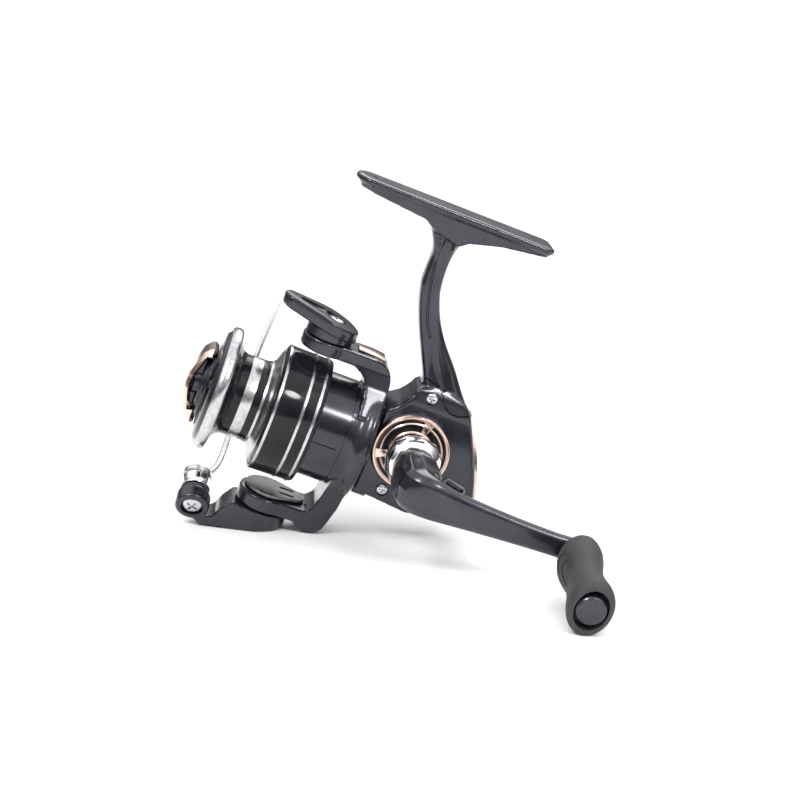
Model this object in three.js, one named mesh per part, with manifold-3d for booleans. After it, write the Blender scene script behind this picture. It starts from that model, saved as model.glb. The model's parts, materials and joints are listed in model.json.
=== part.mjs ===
// Small open-face spinning reel, modelled in millimetres.
// Inside the reel group +X runs forward along the spool axis, +Y to the handle side, +Z up to the foot.
// The group is then turned to stand on its rotor heel, bail arm and handle knob, +Z up from the ground.
import * as THREE from "three";
import { mergeVertices } from "three/addons/utils/BufferGeometryUtils.js";
import Module from "manifold-3d";

const wasm = await Module();
wasm.setup();

// ---- Driving dimensions ----
const gap = 0.3; // between neighbouring pieces
const crankHeight = 4.3; // handle axis above the spool axis
const bodyFront = 10; // front face of the gear housing
const bodyHalf = 9; // half width of the housing
const coverSplit = 5; // where the side cover meets the housing
const bossRadius = 10.4;
const bossFace = 9.9;
const footTop = 65.5;
const footFront = 38.2;
const footRear = -14.8;
const footHalf = 6.35;
const footPlate = 1.9;
const noseRadius = 9.2; // housing nose inside the rotor
const noseFront = 18.3;

const shaftRadius = 1.1;
const pinionBore = 1.25;
const pinionTeeth = 8;
const pinionPitch = 1.85;
const gearTeeth = 36;
const gearReach = (gearTeeth / pinionTeeth) * pinionPitch; // where the teeth meet, forward of the handle axis
const hubTeeth = 14;
const slowTeeth = 28;
const spurModule = 0.5;
const slowX = -9.6; // oscillation gear axis
const stroke = 3.7; // spool travel each way

const cupRadius = 14.1;
const cupFront = 32;
const flangeRadius = 16;
const bailX = 29.6; // bail hinge axis, parallel to Z
const upperArmInside = 19.3;
const upperArmOutside = 22.8;
const lowerArmInside = 22.2;
const lowerArmOutside = 26.2;
const wireTop = 28.7; // the bail wire's end in the holder
const wirePlane = 42.2; // forward of the handle axis
const wireDepth = 34.4; // how far the wire goes round the far side
const wireRadius = 0.9;

const skirtRear = 25.7;
const skirtRadius = 16.9;
const flangeFace = 37.7; // spool flange behind the line
const arborRadius = 10.9;
const lipFront = 52.3;
const lipRadius = 16.35;
const knobRear = 54.3; // drag knob
const knobFront = 59.9;

const armFace = 40.4; // outer face of the crank arm near its root
const grip = { x: -40.9, y: 43.2, z: 4.6, length: 28.2 };
const gripLean = 3; // degrees, the grip leans to the front
const gripRise = -2.3; // degrees, and downwards

const nosePitch = 17; // degrees, nose down, as it stands
const sideRoll = -6.4; // degrees, down to the handle side

// ---- Materials ----
const finish = (color, roughness, metalness) =>
  new THREE.MeshStandardMaterial({ color, roughness, metalness });
const gunmetal = finish(0x3a3b45, 0.38, 0.5);
const darkPlastic = finish(0x17171a, 0.5, 0.1);
const rubber = finish(0x2b2b2e, 0.85, 0);
const roseGold = finish(0xd2a48c, 0.25, 0.9);
const chrome = finish(0xdddddd, 0.1, 1);
const steel = finish(0xb4b4b4, 0.3, 1);
const brass = finish(0xb8964a, 0.35, 1);
const zinc = finish(0x8f9094, 0.45, 0.8);
const blackGloss = finish(0x0b0b0c, 0.15, 0.4);
const felt = finish(0x6b6456, 0.95, 0);

// ---- Solids ----
function solid(geometry) {
  const bare = geometry.clone();
  bare.deleteAttribute("normal");
  bare.deleteAttribute("uv");
  const merged = mergeVertices(bare, 1e-4);
  const vertProperties = merged.attributes.position.array;
  const triVerts = new Uint32Array(merged.index.array);
  return new wasm.Manifold(new wasm.Mesh({ numProp: 3, vertProperties, triVerts }));
}

const join = (first, ...others) => others.reduce((whole, piece) => whole.add(piece), first);
const cut = (first, ...tools) => tools.reduce((whole, tool) => whole.subtract(tool), first);

function piece(name, material, shape) {
  const mesh = shape.getMesh();
  const geometry = new THREE.BufferGeometry();
  geometry.setAttribute("position", new THREE.BufferAttribute(mesh.vertProperties, mesh.numProp));
  geometry.setIndex(new THREE.BufferAttribute(mesh.triVerts, 1));
  const made = new THREE.Mesh(geometry, material);
  made.name = name;
  return made;
}

const unitX = new THREE.Vector3(1, 0, 0);
const unitY = new THREE.Vector3(0, 1, 0);
const unitZ = new THREE.Vector3(0, 0, 1);
const turnedFrames = {
  x: new THREE.Matrix4().makeBasis(unitY, unitX, unitZ.clone().negate()),
  y: new THREE.Matrix4(),
  z: new THREE.Matrix4().makeBasis(unitX, unitZ, unitY.clone().negate()),
};

// A round piece about an axis: the profile is a list of [radius, distance along the axis].
function turned(axis, profile, at = [0, 0, 0], segments = 32) {
  const points = profile.map(([radius, along]) => new THREE.Vector2(radius, along));
  const onAxis = profile[0][0] === 0 && profile.at(-1)[0] === 0;
  if (THREE.ShapeUtils.area(points) < 0) points.reverse();
  if (!onAxis) points.push(points[0].clone());
  const lathe = new THREE.LatheGeometry(points, segments);
  return solid(lathe.applyMatrix4(turnedFrames[axis]).translate(...at));
}

function rod(axis, radius, from, to, at = [0, 0, 0], segments = 20) {
  return turned(axis, [[0, from], [radius, from], [radius, to], [0, to]], at, segments);
}

function tube(axis, inner, outer, from, to, at = [0, 0, 0], segments = 28) {
  return turned(axis, [[inner, from], [outer, from], [outer, to], [inner, to]], at, segments);
}

// An outline pushed along the axis it is square to; grow widens the outline all round.
const plateFrames = {
  x: (from) => new THREE.Matrix4().makeBasis(unitY, unitZ, unitX).setPosition(from, 0, 0),
  y: (from, to) => new THREE.Matrix4().makeBasis(unitX, unitZ, unitY.clone().negate()).setPosition(0, to, 0),
  z: (from) => new THREE.Matrix4().setPosition(0, 0, from),
};

function plate(axis, outline, from, to, { grow = 0, bevel = 0, steps = 4 } = {}) {
  const shape = outline instanceof THREE.Shape ? outline : polygon(outline);
  const thin = 0.004;
  const edge = bevel || (grow ? thin : 0);
  const options = {
    depth: to - from - 2 * edge,
    curveSegments: steps,
    bevelEnabled: edge > 0,
    bevelThickness: edge,
    bevelSize: bevel,
    bevelOffset: grow - bevel,
    bevelSegments: 1,
  };
  const made = new THREE.ExtrudeGeometry(shape, options).translate(0, 0, edge);
  return solid(made.applyMatrix4(plateFrames[axis](from, to)));
}

function polygon(corners) {
  return new THREE.Shape(corners.map(([u, v]) => new THREE.Vector2(u, v)));
}

function block(x, y, z) {
  const size = [x, y, z].map(([low, high]) => high - low);
  const middle = [x, y, z].map(([low, high]) => (low + high) / 2);
  return solid(new THREE.BoxGeometry(...size).translate(...middle));
}

// Two circles on the X axis of the outline, joined by their outer tangents.
function link(startX, startRadius, endX, endRadius) {
  const lean = Math.acos((startRadius - endRadius) / (endX - startX));
  const shape = new THREE.Shape();
  shape.absarc(startX, 0, startRadius, lean, 2 * Math.PI - lean, false);
  shape.absarc(endX, 0, endRadius, -lean, lean, false);
  return shape;
}

const points = (pairs) => pairs.map(([u, v]) => new THREE.Vector2(u, v));

function spurOutline(teeth, module, thinning) {
  const pitch = (teeth * module) / 2;
  const tip = pitch + 0.8 * module;
  const root = pitch - 1.1 * module;
  const half = Math.PI / 2 / teeth - thinning / pitch;
  const corners = [];
  for (let tooth = 0; tooth < teeth; tooth++) {
    const middle = (tooth * 2 * Math.PI) / teeth;
    for (const [radius, turn] of [[root, -1.35], [tip, -0.55], [tip, 0.55], [root, 1.35]]) {
      const angle = middle + turn * half;
      corners.push([radius * Math.cos(angle), radius * Math.sin(angle)]);
    }
  }
  return corners;
}

const moved = (corners, u, v) => corners.map(([a, b]) => [a + u, b + v]);
const spun = (corners, angle) =>
  corners.map(([a, b]) => [
    a * Math.cos(angle) - b * Math.sin(angle),
    a * Math.sin(angle) + b * Math.cos(angle),
  ]);

const crankAt = [0, 0, crankHeight];
const slowAt = [slowX, 0, 0];
const coverScrews = [[0.1, 19.2], [2.9, -8.3], [-17.4, -6.9]];

// ---- Housing: gear case, stem and foot cast as one, and its side cover ----
function housingOutline() {
  const shape = new THREE.Shape();
  shape.moveTo(bodyFront, -11);
  shape.lineTo(bodyFront, 12.2);
  shape.lineTo(6.6, 15.1);
  shape.splineThru(points([[3.4, 20.6], [8.9, 32.8], [13, 42.6], [13.5, 51.5], [18.5, 60.9]]));
  shape.lineTo(footFront - 0.9, 62.5);
  shape.lineTo(footFront - 0.9, footTop - footPlate);
  shape.lineTo(footRear + 0.4, footTop - footPlate);
  shape.lineTo(footRear, 62.9);
  shape.splineThru(points([[-1.8, 61.4], [6.6, 58.4], [8, 52], [6.9, 43.4], [-1.4, 30.4], [-11.2, 18.2]]));
  shape.splineThru(points([[-15.5, 9], [-20.6, -3.5]]));
  shape.lineTo(-20.2, -7.4);
  shape.lineTo(-14, -11.2);
  shape.lineTo(-4.8, -12.4);
  shape.lineTo(3.6, -11.5);
  return shape;
}

const coverOutline = [
  [12, -16], [12, 13.2], [6.4, 16.9], [4.8, 22.4], [2.6, 23], [-0.9, 22.1], [-2.6, 20.3],
  [-3.6, 18.3], [-5.6, 17], [-8, 16.9], [-16, 20], [-26, 20], [-26, -16],
];
const wellOutline = [
  [8.4, -9.6], [8.4, 10.5], [4.6, 14.6], [2, 16.4], [-4, 16.4], [-9.4, 15], [-14.4, 8.6],
  [-19.2, -3], [-19, -6.6], [-15.5, -9.7], [-4.8, -10.9], [3, -10],
];
const frontView = [
  [-bodyHalf, -14], [bodyHalf, -14], [bodyHalf, 15], [6.6, 25], [4.4, 33], [3.9, 46], [3.4, 58], [3.4, 64],
  [-3.4, 64], [-3.4, 58], [-3.9, 46], [-4.4, 33], [-6.6, 25], [-bodyHalf, 15],
];

function gearCase() {
  const side = plate("y", housingOutline(), -bodyHalf, bodyHalf, { steps: 3 });
  return side.intersect(plate("x", frontView, -30, 45));
}

function footShape() {
  const front = footFront - footHalf * 0.6;
  const shape = new THREE.Shape();
  shape.moveTo(footRear, -footHalf + 1.5);
  shape.lineTo(footRear + 1.5, -footHalf);
  shape.lineTo(front, -footHalf);
  shape.splineThru(points([[footFront - 1, -footHalf * 0.62], [footFront, 0]]));
  shape.splineThru(points([[footFront - 1, footHalf * 0.62], [front, footHalf]]));
  shape.lineTo(footRear + 1.5, footHalf);
  shape.lineTo(footRear, footHalf - 1.5);
  return shape;
}

const trimHalf = 6.2;
function trimOutline() {
  const shape = new THREE.Shape();
  shape.moveTo(-10.9, 18.2);
  shape.splineThru(points([[-15.9, 9], [-20.95, -3.5]]));
  shape.lineTo(-20.6, -7.2);
  shape.lineTo(-21.4, -7);
  shape.lineTo(-21.9, -3.7);
  shape.splineThru(points([[-16.9, 9.3], [-11.7, 18.6]]));
  return shape;
}
const trimRecess = () => plate("y", trimOutline(), -trimHalf - gap, trimHalf + gap, { grow: gap });

const leverPivot = { z: -8.6, from: 5.2, to: 9.4, radius: 0.9 };

function reelBody() {
  const nose = rod("x", noseRadius, 8.5, noseFront, [0, 0, 0], 30);
  const foot = plate("z", footShape(), footTop - footPlate, footTop, { steps: 3 });
  const farBoss = rod("y", bossRadius, -bossFace, -bodyHalf + 1, crankAt, 32);
  const pillars = coverScrews.map(([x, z]) => rod("y", 1.9, -bodyHalf + 1, coverSplit, [x, 0, z]));
  const shell = join(gearCase(), foot, nose, farBoss);
  const hollow = cut(
    shell,
    plate("y", coverOutline, coverSplit, bodyHalf + 2, { grow: gap }),
    plate("y", wellOutline, -7, coverSplit + 1),
    trimRecess(),
    rod("y", 10.7, -4.9, -1.2, crankAt, 32),
    rod("x", 4.6, 10.9, 13.7),
    rod("x", 7.7, 13.6, noseFront + 1, [0, 0, 0], 26),
    rod("x", 2.7, 6, 12),
    rod("y", 4.55, -8.7, -6.4, crankAt, 28),
    rod("y", 3.1, -bossFace - 1, -6, crankAt),
    block([4.9, 9.2], [-4.6, 4.6], [-16, -7.4]),
    rod("x", leverPivot.radius + 0.15, 4, bodyFront + 1, [0, 0, leverPivot.z]),
  );
  const screwHoles = coverScrews.map(([x, z]) => rod("y", 1.1, -4, coverSplit + 1, [x, 0, z], 12));
  return cut(join(hollow, ...pillars), ...screwHoles);
}

function sideCover() {
  const skin = gearCase().intersect(plate("y", coverOutline, coverSplit + gap, bodyHalf + 2));
  const boss = rod("y", bossRadius, bodyHalf - 1, bossFace, crankAt, 32);
  const seat = rod("y", 5.4, 6, bodyHalf - 0.5, crankAt, 28);
  const post = rod("y", 1.2, 3.1, 7.8, slowAt, 16);
  const pads = coverScrews.map(([x, z]) => rod("y", 1.9, coverSplit + gap, bodyHalf - 0.6, [x, 0, z]));
  const shell = cut(skin, plate("y", wellOutline, coverSplit, 7.2));
  const whole = join(shell, boss, seat, post, ...pads);
  const counterbores = coverScrews.flatMap(([x, z]) => [
    rod("y", 1.7, bodyHalf - 1.2, bodyHalf + 2, [x, 0, z], 16),
    rod("y", 1.1, 4, bodyHalf, [x, 0, z], 12),
  ]);
  return cut(
    whole,
    rod("y", 4.55, 5, 8.6, crankAt, 28),
    rod("y", 3.1, 5, bossFace + 1, crankAt),
    trimRecess(),
    ...counterbores,
  );
}

function coverScrew([x, z]) {
  const profile = [[0, -3.5], [0.75, -3.5], [0.75, 8.1], [1.4, 8.1], [1.4, 9], [1, 9.4], [0, 9.4]];
  const body = turned("y", profile, [x, 0, z], 16);
  const crossA = block([x - 0.9, x + 0.9], [8.9, 10], [z - 0.16, z + 0.16]);
  const crossB = block([x - 0.16, x + 0.16], [8.9, 10], [z - 0.9, z + 0.9]);
  return cut(body, crossA, crossB);
}

function bossRing() {
  const outer = tube("y", 8.7, 10.2, bossFace + gap, 11.1, crankAt, 30);
  const inner = tube("y", 5.6, 6.5, bossFace + gap, 10.9, crankAt, 22);
  const spokes = [20, 140, 260].map((degrees) => {
    const spoke = new THREE.BoxGeometry(2.6, 0.6, 1.5).translate(7.4, bossFace + gap + 0.3, 0);
    return solid(spoke.rotateY(THREE.MathUtils.degToRad(degrees)).translate(...crankAt));
  });
  return join(outer, inner, ...spokes);
}

const rearTrim = () => plate("y", trimOutline(), -trimHalf, trimHalf);

function antiReverseLever() {
  const { z, from, to, radius } = leverPivot;
  const pivot = rod("x", radius, from, to, [0, 0, z], 16);
  const outline = [[-1, z], [-1.8, -13.2], [-1.4, -14.6], [1.4, -14.6], [1.8, -13.2], [1, z]];
  const blade = plate("x", outline, from, 8.8);
  const grooves = [6, 7, 8].map((x) => block([x - 0.2, x + 0.2], [-2, 2], [-15, -14]));
  return cut(join(pivot, blade), ...grooves);
}

// Shielded ball bearings are closed rings of one outer size.
const ballBearing = (axis, inner, outer, from, to, at) => tube(axis, inner, outer, from, to, at, 22);

const guideRod = () => rod("x", 0.8, -14.4, 0.4, [0, 0, -8.1], 16);

// One-way clutch in the nose: a slotted outer ring and a caged set of rollers.
function clutchOuter() {
  const ring = tube("x", 4.5, 7.4, 13.9, 17.9, [0, 0, 0], 36);
  const ramps = Array.from({ length: 6 }, (_, index) => {
    const slot = new THREE.BoxGeometry(5, 1.6, 2.2).translate(15.9, 0, 4.6);
    return solid(slot.rotateX((index * Math.PI) / 3));
  });
  return cut(ring, ...ramps);
}

function clutchCage() {
  const cage = tube("x", 3.4, 4.1, 14.1, 17.7, [0, 0, 0], 28);
  const rollers = Array.from({ length: 6 }, (_, index) => {
    const angle = (index * Math.PI) / 3;
    return rod("x", 0.62, 14.4, 17.4, [0, -4.4 * Math.sin(angle), 4.4 * Math.cos(angle)], 10);
  });
  return join(cage, ...rollers);
}

// ---- Crank: face gear, shaft, collar, arm and knob axle ----
function driveGear() {
  const shaft = rod("y", 2.4, -8.6, 9.3, crankAt, 24);
  const web = rod("y", 10.3, -4.4, -2.5, crankAt, 24);
  const hub = rod("y", 3.6, -6.1, -2.4, crankAt, 24);
  const face = Array.from({ length: gearTeeth }, (_, index) => {
    const half = 0.26;
    const tooth = [[-2.7, -half - 0.1], [-1.66, -half + 0.1], [-1.66, half - 0.1], [-2.7, half + 0.1]];
    const bar = new THREE.ExtrudeGeometry(polygon(tooth), { depth: 1.7, bevelEnabled: false });
    bar.applyMatrix4(plateFrames.x(gearReach - 0.85)).translate(0, 0, -crankHeight);
    return solid(bar.rotateY((index * 2 * Math.PI) / gearTeeth).translate(...crankAt));
  });
  const toothAngle = Math.atan2(-crankHeight, slowX);
  const hubCorners = moved(spun(spurOutline(hubTeeth, spurModule, 0.09), toothAngle), 0, crankHeight);
  const hubGear = plate("y", hubCorners, 3.4, 5);
  const whole = join(shaft, web, hub, ...face, hubGear);
  return cut(whole, rod("y", 1.5, -9, 10, crankAt, 20));
}

const handleShaft = () => rod("y", 1.15, -9.4, 21, crankAt, 6);

function shaftCap() {
  const cap = turned(
    "y",
    [[0, -13.4], [3.2, -13.4], [4.4, -12.6], [4.4, -10.3], [0, -10.3]],
    crankAt,
    28,
  );
  const slot = block([-3.4, 3.4], [-14, -12.9], [crankHeight - 0.5, crankHeight + 0.5]);
  return cut(cap, slot);
}

function handleCollar() {
  const profile = [
    [1.5, 10.4], [4.6, 10.4], [4.8, 14.2], [6.6, 15.4], [7.2, 17.4], [6.8, 19.8], [5.6, 21.4], [1.5, 21.4],
  ];
  return turned("y", profile, crankAt, 24);
}

// A neck runs out from the collar, then the arm bends square to it and tapers to the grip.
const armSlope = -0.03; // the arm moves outwards as it runs back
function handleArm() {
  const outline = new THREE.Shape();
  outline.moveTo(4.6, 4.3);
  outline.splineThru(points([[3.2, 0.6], [-1, -0.9], [-5, -0.8]]));
  outline.splineThru(points([[-20, 0.6], [-41, 1.8], [-44.2, 3.4], [-44.2, 5.8], [-41, 7.4]]));
  outline.splineThru(points([[-24, 7.2], [-9, 8.2], [-3, 9.7], [2.6, 8.6], [4.6, 4.3]]));
  const shear = new THREE.Matrix4().set(1, 0, 0, 0, armSlope, 1, 0, 0, 0, 0, 1, 0, 0, 0, 0, 1);
  const bar = new THREE.ExtrudeGeometry(outline, {
    depth: 1.8,
    curveSegments: 2,
    bevelThickness: 1,
    bevelSize: 1,
    bevelOffset: -1,
    bevelSegments: 1,
  });
  bar.applyMatrix4(plateFrames.y(0, armFace - 1)).applyMatrix4(shear);
  const neck = [
    [0, 21.7], [4.5, 21.7], [5.4, 24], [5.6, 30], [5.5, 36], [4.6, 39],
    [2.6, armFace + 0.5], [0, armFace + 0.9],
  ];
  return cut(join(solid(bar), turned("y", neck, crankAt, 20)), gripTool(1.5, -8, 2));
}

// Pieces about the grip's own leaning axis, measured outwards from its inner end.
const gripFrame = new THREE.Matrix4()
  .makeRotationFromEuler(
    new THREE.Euler(THREE.MathUtils.degToRad(gripRise), 0, -THREE.MathUtils.degToRad(gripLean)),
  )
  .setPosition(grip.x, grip.y, grip.z);

function gripTurned(profile, segments = 24, wide = 1, tall = 1) {
  const outline = profile.map(([radius, along]) => new THREE.Vector2(radius, along));
  if (THREE.ShapeUtils.area(outline) < 0) outline.reverse();
  if (outline[0].x !== 0) outline.push(outline[0].clone());
  return solid(new THREE.LatheGeometry(outline, segments).scale(wide, 1, tall).applyMatrix4(gripFrame));
}

const gripTool = (radius, from, to) => gripTurned([[0, from], [radius, from], [radius, to], [0, to]], 16);

function knobAxle() {
  const profile = [[0, -5.6], [1.2, -5.6], [1.2, 0.3], [1.6, 0.3], [1.6, 23], [2.5, 23], [2.5, 24.4], [0, 24.4]];
  return gripTurned(profile, 16);
}
const knobBush = () => gripTurned([[1.75, 0.5], [2.6, 0.5], [2.6, 22.6], [1.75, 22.6]], 20);

function handleKnob() {
  const profile = [
    [3.6, 0], [5.2, 0], [6.1, 1.6], [6.5, 5], [6.1, 9], [5.3, 14], [5.5, 19], [6.3, 24], [6.5, 26.4],
    [5.9, 28], [4.8, grip.length], [4.8, 25.4], [3.6, 25.4],
  ];
  return gripTurned(profile, 20, 0.82, 1.05);
}
const knobCap = () => gripTurned([[0, 25.8], [3.5, 25.8], [3.5, 28.2], [3.1, 28.6], [0, 28.6]], 24);

// ---- Oscillation gear on the cover's post, with its eccentric pin ----
function oscillationGear() {
  const teeth = spurOutline(slowTeeth, spurModule, 0.09);
  const mesh = Math.atan2(crankHeight, -slowX) + Math.PI / slowTeeth;
  const wheel = plate("y", moved(spun(teeth, mesh), slowX, 0), 3.4, 5);
  const pin = rod("y", 0.8, 2.7, 3.6, [slowX, 0, stroke], 14);
  return cut(join(wheel, pin), rod("y", 1.4, 3, 6, slowAt, 18));
}

// ---- Rotor and what turns with it ----
function pinionGear() {
  const teeth = spun(spurOutline(pinionTeeth, (2 * pinionPitch) / pinionTeeth, 0.13), Math.PI / pinionTeeth);
  const gear = plate("x", teeth, gearReach - 1.9, 10.1);
  const sleeve = rod("x", 1.75, 9.8, 24.6, [0, 0, 0], 24);
  return cut(join(gear, sleeve), rod("x", pinionBore, 0, 30, [0, 0, 0], 24));
}

const upperArm = [
  [11.2, 10], [10.8, 16.4], [11.7, 20.3], [14.6, 22.5], [17, upperArmOutside],
  [bailX, upperArmOutside], [bailX, upperArmInside], [21.4, upperArmInside],
  [18.6, 17.8], [17, 15.4], [16.4, 10],
];
const lowerArm = [
  [11.2, -10], [11.4, -19], [13.1, -25.8], [15.2, -27.6], [18.2, -27.7], [21.1, -27.3],
  [21.3, -lowerArmOutside], [bailX, -lowerArmOutside], [bailX, -lowerArmInside], [19.2, -lowerArmInside],
  [17.3, -20], [16.8, -16], [16.4, -10],
];
function armView(tip, hip, root, side) {
  const half = [[root, 9], [hip, 16], [tip, 20], [tip, 30]];
  const far = half.map(([y, z]) => [-y, z * side]);
  const near = half.map(([y, z]) => [y, z * side]).reverse();
  return [...far, ...near];
}

function rotor() {
  const cup = turned(
    "x",
    [
      [9.7, 10.7], [15.3, 10.7], [flangeRadius, 11.4], [flangeRadius, 12.8], [cupRadius, 15.2],
      [cupRadius, cupFront], [12.7, cupFront], [12.7, 21.5], [2.1, 21.5], [2.1, 19.4], [9.7, 19.4],
    ],
    [0, 0, 0],
    30,
  );
  const top = plate("y", upperArm, -14, 14).intersect(plate("x", armView(5.3, 7, 12, 1), 0, 45));
  const bottom = plate("y", lowerArm, -14, 14).intersect(plate("x", armView(6.4, 8, 12, -1), 0, 45));
  const topBoss = rod("z", 6.6, upperArmInside, upperArmOutside, [bailX, 0, 0], 24);
  const bottomBoss = rod("z", 7.5, -lowerArmOutside, -lowerArmInside, [bailX, 0, 0], 24);
  const whole = join(cup, top, bottom, topBoss, bottomBoss);
  return cut(
    whole,
    rod("x", 9.7, 0, 19.4, [0, 0, 0], 30),
    rod("x", 12.7, 21.5, 40, [0, 0, 0], 30),
    rod("z", 1.2, 15, 25, [bailX, 0, 0], 14),
    rod("z", 1.5, -30, -18, [bailX, 0, 0], 14),
    block([18.2, 26.6], [-3.6, 3.6], [-24.7, -21]),
    block([13.3, 18.6], [-1.4, 1.4], [-24.7, -22.7]),
  );
}

const rotorNut = () => cut(rod("x", 3.9, 21.8, 24.2, [0, 0, 0], 6), rod("x", 2.05, 20, 26, [0, 0, 0], 24));
const clutchSleeve = () => tube("x", 2.05, 3.1, 14, 19.1);

function armPlate() {
  const cover = link(22.9, 3.4, bailX, 6.2);
  const made = plate("z", cover, -lowerArmInside + gap, -lowerArmInside + 1.1);
  const slot = block([23, 30], [1.2, 2.4], [-24, -18]);
  const head = rod("z", 1.5, -24, -18, [bailX, 0, 0], 14);
  return cut(made, slot, head);
}

function armTrim() {
  const under = upperArmOutside + gap;
  const strip = [[17.2, under], [14.3, under - 0.25], [14, 23.5], [17.2, 23.9], [21.4, 23.9], [21.4, under]];
  return plate("y", strip, -3, 3);
}

function bailSpring() {
  const turns = 4;
  const coil = new THREE.Curve();
  coil.getPoint = (t, target = new THREE.Vector3()) => {
    const angle = t * turns * 2 * Math.PI;
    return target.set(18.8 + t * 7, 2.4 + 0.6 * Math.cos(angle), -23.4 + 0.6 * Math.sin(angle));
  };
  const wire = new THREE.Shape();
  wire.absarc(0, 0, 0.22, 0, 2 * Math.PI);
  const options = { steps: turns * 7, curveSegments: 2, bevelEnabled: false, extrudePath: coil };
  return solid(new THREE.ExtrudeGeometry(wire, options));
}

const tripLever = () => block([15.2, 22], [-1, 1], [-24.3, -23]);

// ---- Bail: holder, arm and wire, turning on the two rotor arms ----
function bailHolder() {
  const side = plate("y", [[22, 23.7], [45, 27.6], [45, 30.9], [22, 27]], -8, 8);
  const cap = side.intersect(plate("z", link(bailX, 7, 40.2, 3.8), 20, 35, { steps: 7 }));
  const hub = rod("z", 6.3, upperArmOutside + gap, 25.2, [bailX, 0, 0], 24);
  return cut(
    join(cap, hub),
    rod("z", 1.2, 20, 30, [bailX, 0, 0], 14),
    rod("z", 2.7, 27, 30, [bailX, 0, 0], 20),
    rod("y", 1.25, -5, 0.6, [wirePlane, 0, wireTop], 14),
  );
}

function upperScrew() {
  const profile = [[0, 20], [0.85, 20], [0.85, 27.3], [2.4, 27.3], [2.4, 28.1], [0, 28.4]];
  return turned("z", profile, [bailX, 0, 0], 16);
}

function lowerScrew() {
  const profile = [[0, -31.2], [2.5, -30.9], [2.5, -29.9], [1.1, -29.9], [1.1, -21.4], [0, -21.4]];
  return turned("z", profile, [bailX, 0, 0], 16);
}

const rollerStart = new THREE.Vector3(46.9, 5.6, -31.7); // outer face of the roller cup
const rollerAxis = new THREE.Vector3(0.08, -0.91, 0.41).normalize();
const rollerFrame = new THREE.Matrix4()
  .makeRotationFromQuaternion(new THREE.Quaternion().setFromUnitVectors(unitY, rollerAxis))
  .setPosition(rollerStart);

function rollerTurned(profile, segments = 24) {
  const outline = profile.map(([radius, along]) => new THREE.Vector2(radius, along));
  if (THREE.ShapeUtils.area(outline) < 0) outline.reverse();
  if (outline[0].x !== 0) outline.push(outline[0].clone());
  return solid(new THREE.LatheGeometry(outline, segments).applyMatrix4(rollerFrame));
}

function bailArm() {
  const side = [
    [20, -lowerArmOutside - gap], [20, -29.4], [23.4, -30.4], [28, -31.2], [44, -36.2], [46, -34.6],
    [46, -32], [43.5, -33.4], [41.2, -32.6], [39.8, -29.5], [37.6, -lowerArmOutside - gap],
  ];
  const fromBelow = plate("z", link(bailX, 7.3, 45, 3.9), -40, -20, { steps: 6 });
  const body = plate("y", side, -9, 9).intersect(fromBelow);
  const cup = rollerTurned([[0, 0.3], [4, 0], [4.5, 0.5], [4.5, 4.4], [0, 4.4]]);
  const clear = rollerTurned([[0, 4.4], [5, 4.4], [5, 14], [0, 14]]);
  return cut(
    join(cut(body, clear), cup),
    rollerTurned([[0, -2], [2.9, -2], [2.9, 1.6], [1.35, 1.6], [1.35, 6], [0, 6]], 20),
    rod("z", 2.8, -32, -29.6, [bailX, 0, 0], 20),
    rod("z", 1.4, -32, -20, [bailX, 0, 0], 14),
  );
}

function rollerScrew() {
  const profile = [[0, 0.3], [2.3, 0.3], [2.6, 0.7], [2.6, 1.3], [1.05, 1.3], [1.05, 10.3], [0, 10.3]];
  const screw = rollerTurned(profile, 20);
  const cross = [[2.8, 0.5], [0.5, 2.8]].map(([wide, tall]) => {
    return solid(new THREE.BoxGeometry(wide, 0.5, tall).translate(0, 0.35, 0).applyMatrix4(rollerFrame));
  });
  return cut(screw, ...cross);
}

const rollerBush = () => rollerTurned([[1.35, 4.7], [3.9, 4.7], [3.9, 5.6], [2.1, 6], [2.1, 10], [1.35, 10]]);
const lineRoller = () =>
  rollerTurned([[2.4, 6.3], [3.5, 6.3], [3.1, 7.2], [3, 8.1], [3.2, 9.2], [3.5, 10.1], [2.4, 10.1]], 28);

// The wire is half an ellipse round the far side of the spool, from the holder to a cap on the roller.
function bailWire() {
  const end = rollerStart.clone().addScaledVector(rollerAxis, 11.6);
  const span = (wireTop - end.z) / 2;
  const middle = (wireTop + end.z) / 2;
  const route = new THREE.Curve();
  route.getPoint = (t, target = new THREE.Vector3()) => {
    const angle = Math.PI * (t - 0.5);
    const y = end.y * (0.5 - 0.5 * Math.sin(angle)) - wireDepth * Math.cos(angle);
    const x = wirePlane + (end.x - wirePlane) * Math.pow(1 - t, 20);
    return target.set(x, y, middle + span * Math.sin(angle));
  };
  const wire = new THREE.Shape();
  wire.absarc(0, 0, wireRadius, 0, 2 * Math.PI);
  const options = { steps: 40, curveSegments: 4, bevelEnabled: false, extrudePath: route };
  const cap = rollerTurned([[0, 10.6], [3.3, 10.6], [3.3, 11.4], [1.2, 13], [0, 13]], 20);
  return join(solid(new THREE.ExtrudeGeometry(wire, options)), cap);
}

// ---- Main shaft and the slider that drives it ----
const tailRadius = 0.7; // the shaft's rear end, in the slider
const shaftRear = -7.7;
const shaftFront = 56.4;
function mainShaft() {
  const tail = rod("x", tailRadius, -12.2, shaftRear + 0.1);
  return join(rod("x", shaftRadius, shaftRear, shaftFront), tail);
}

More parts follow.
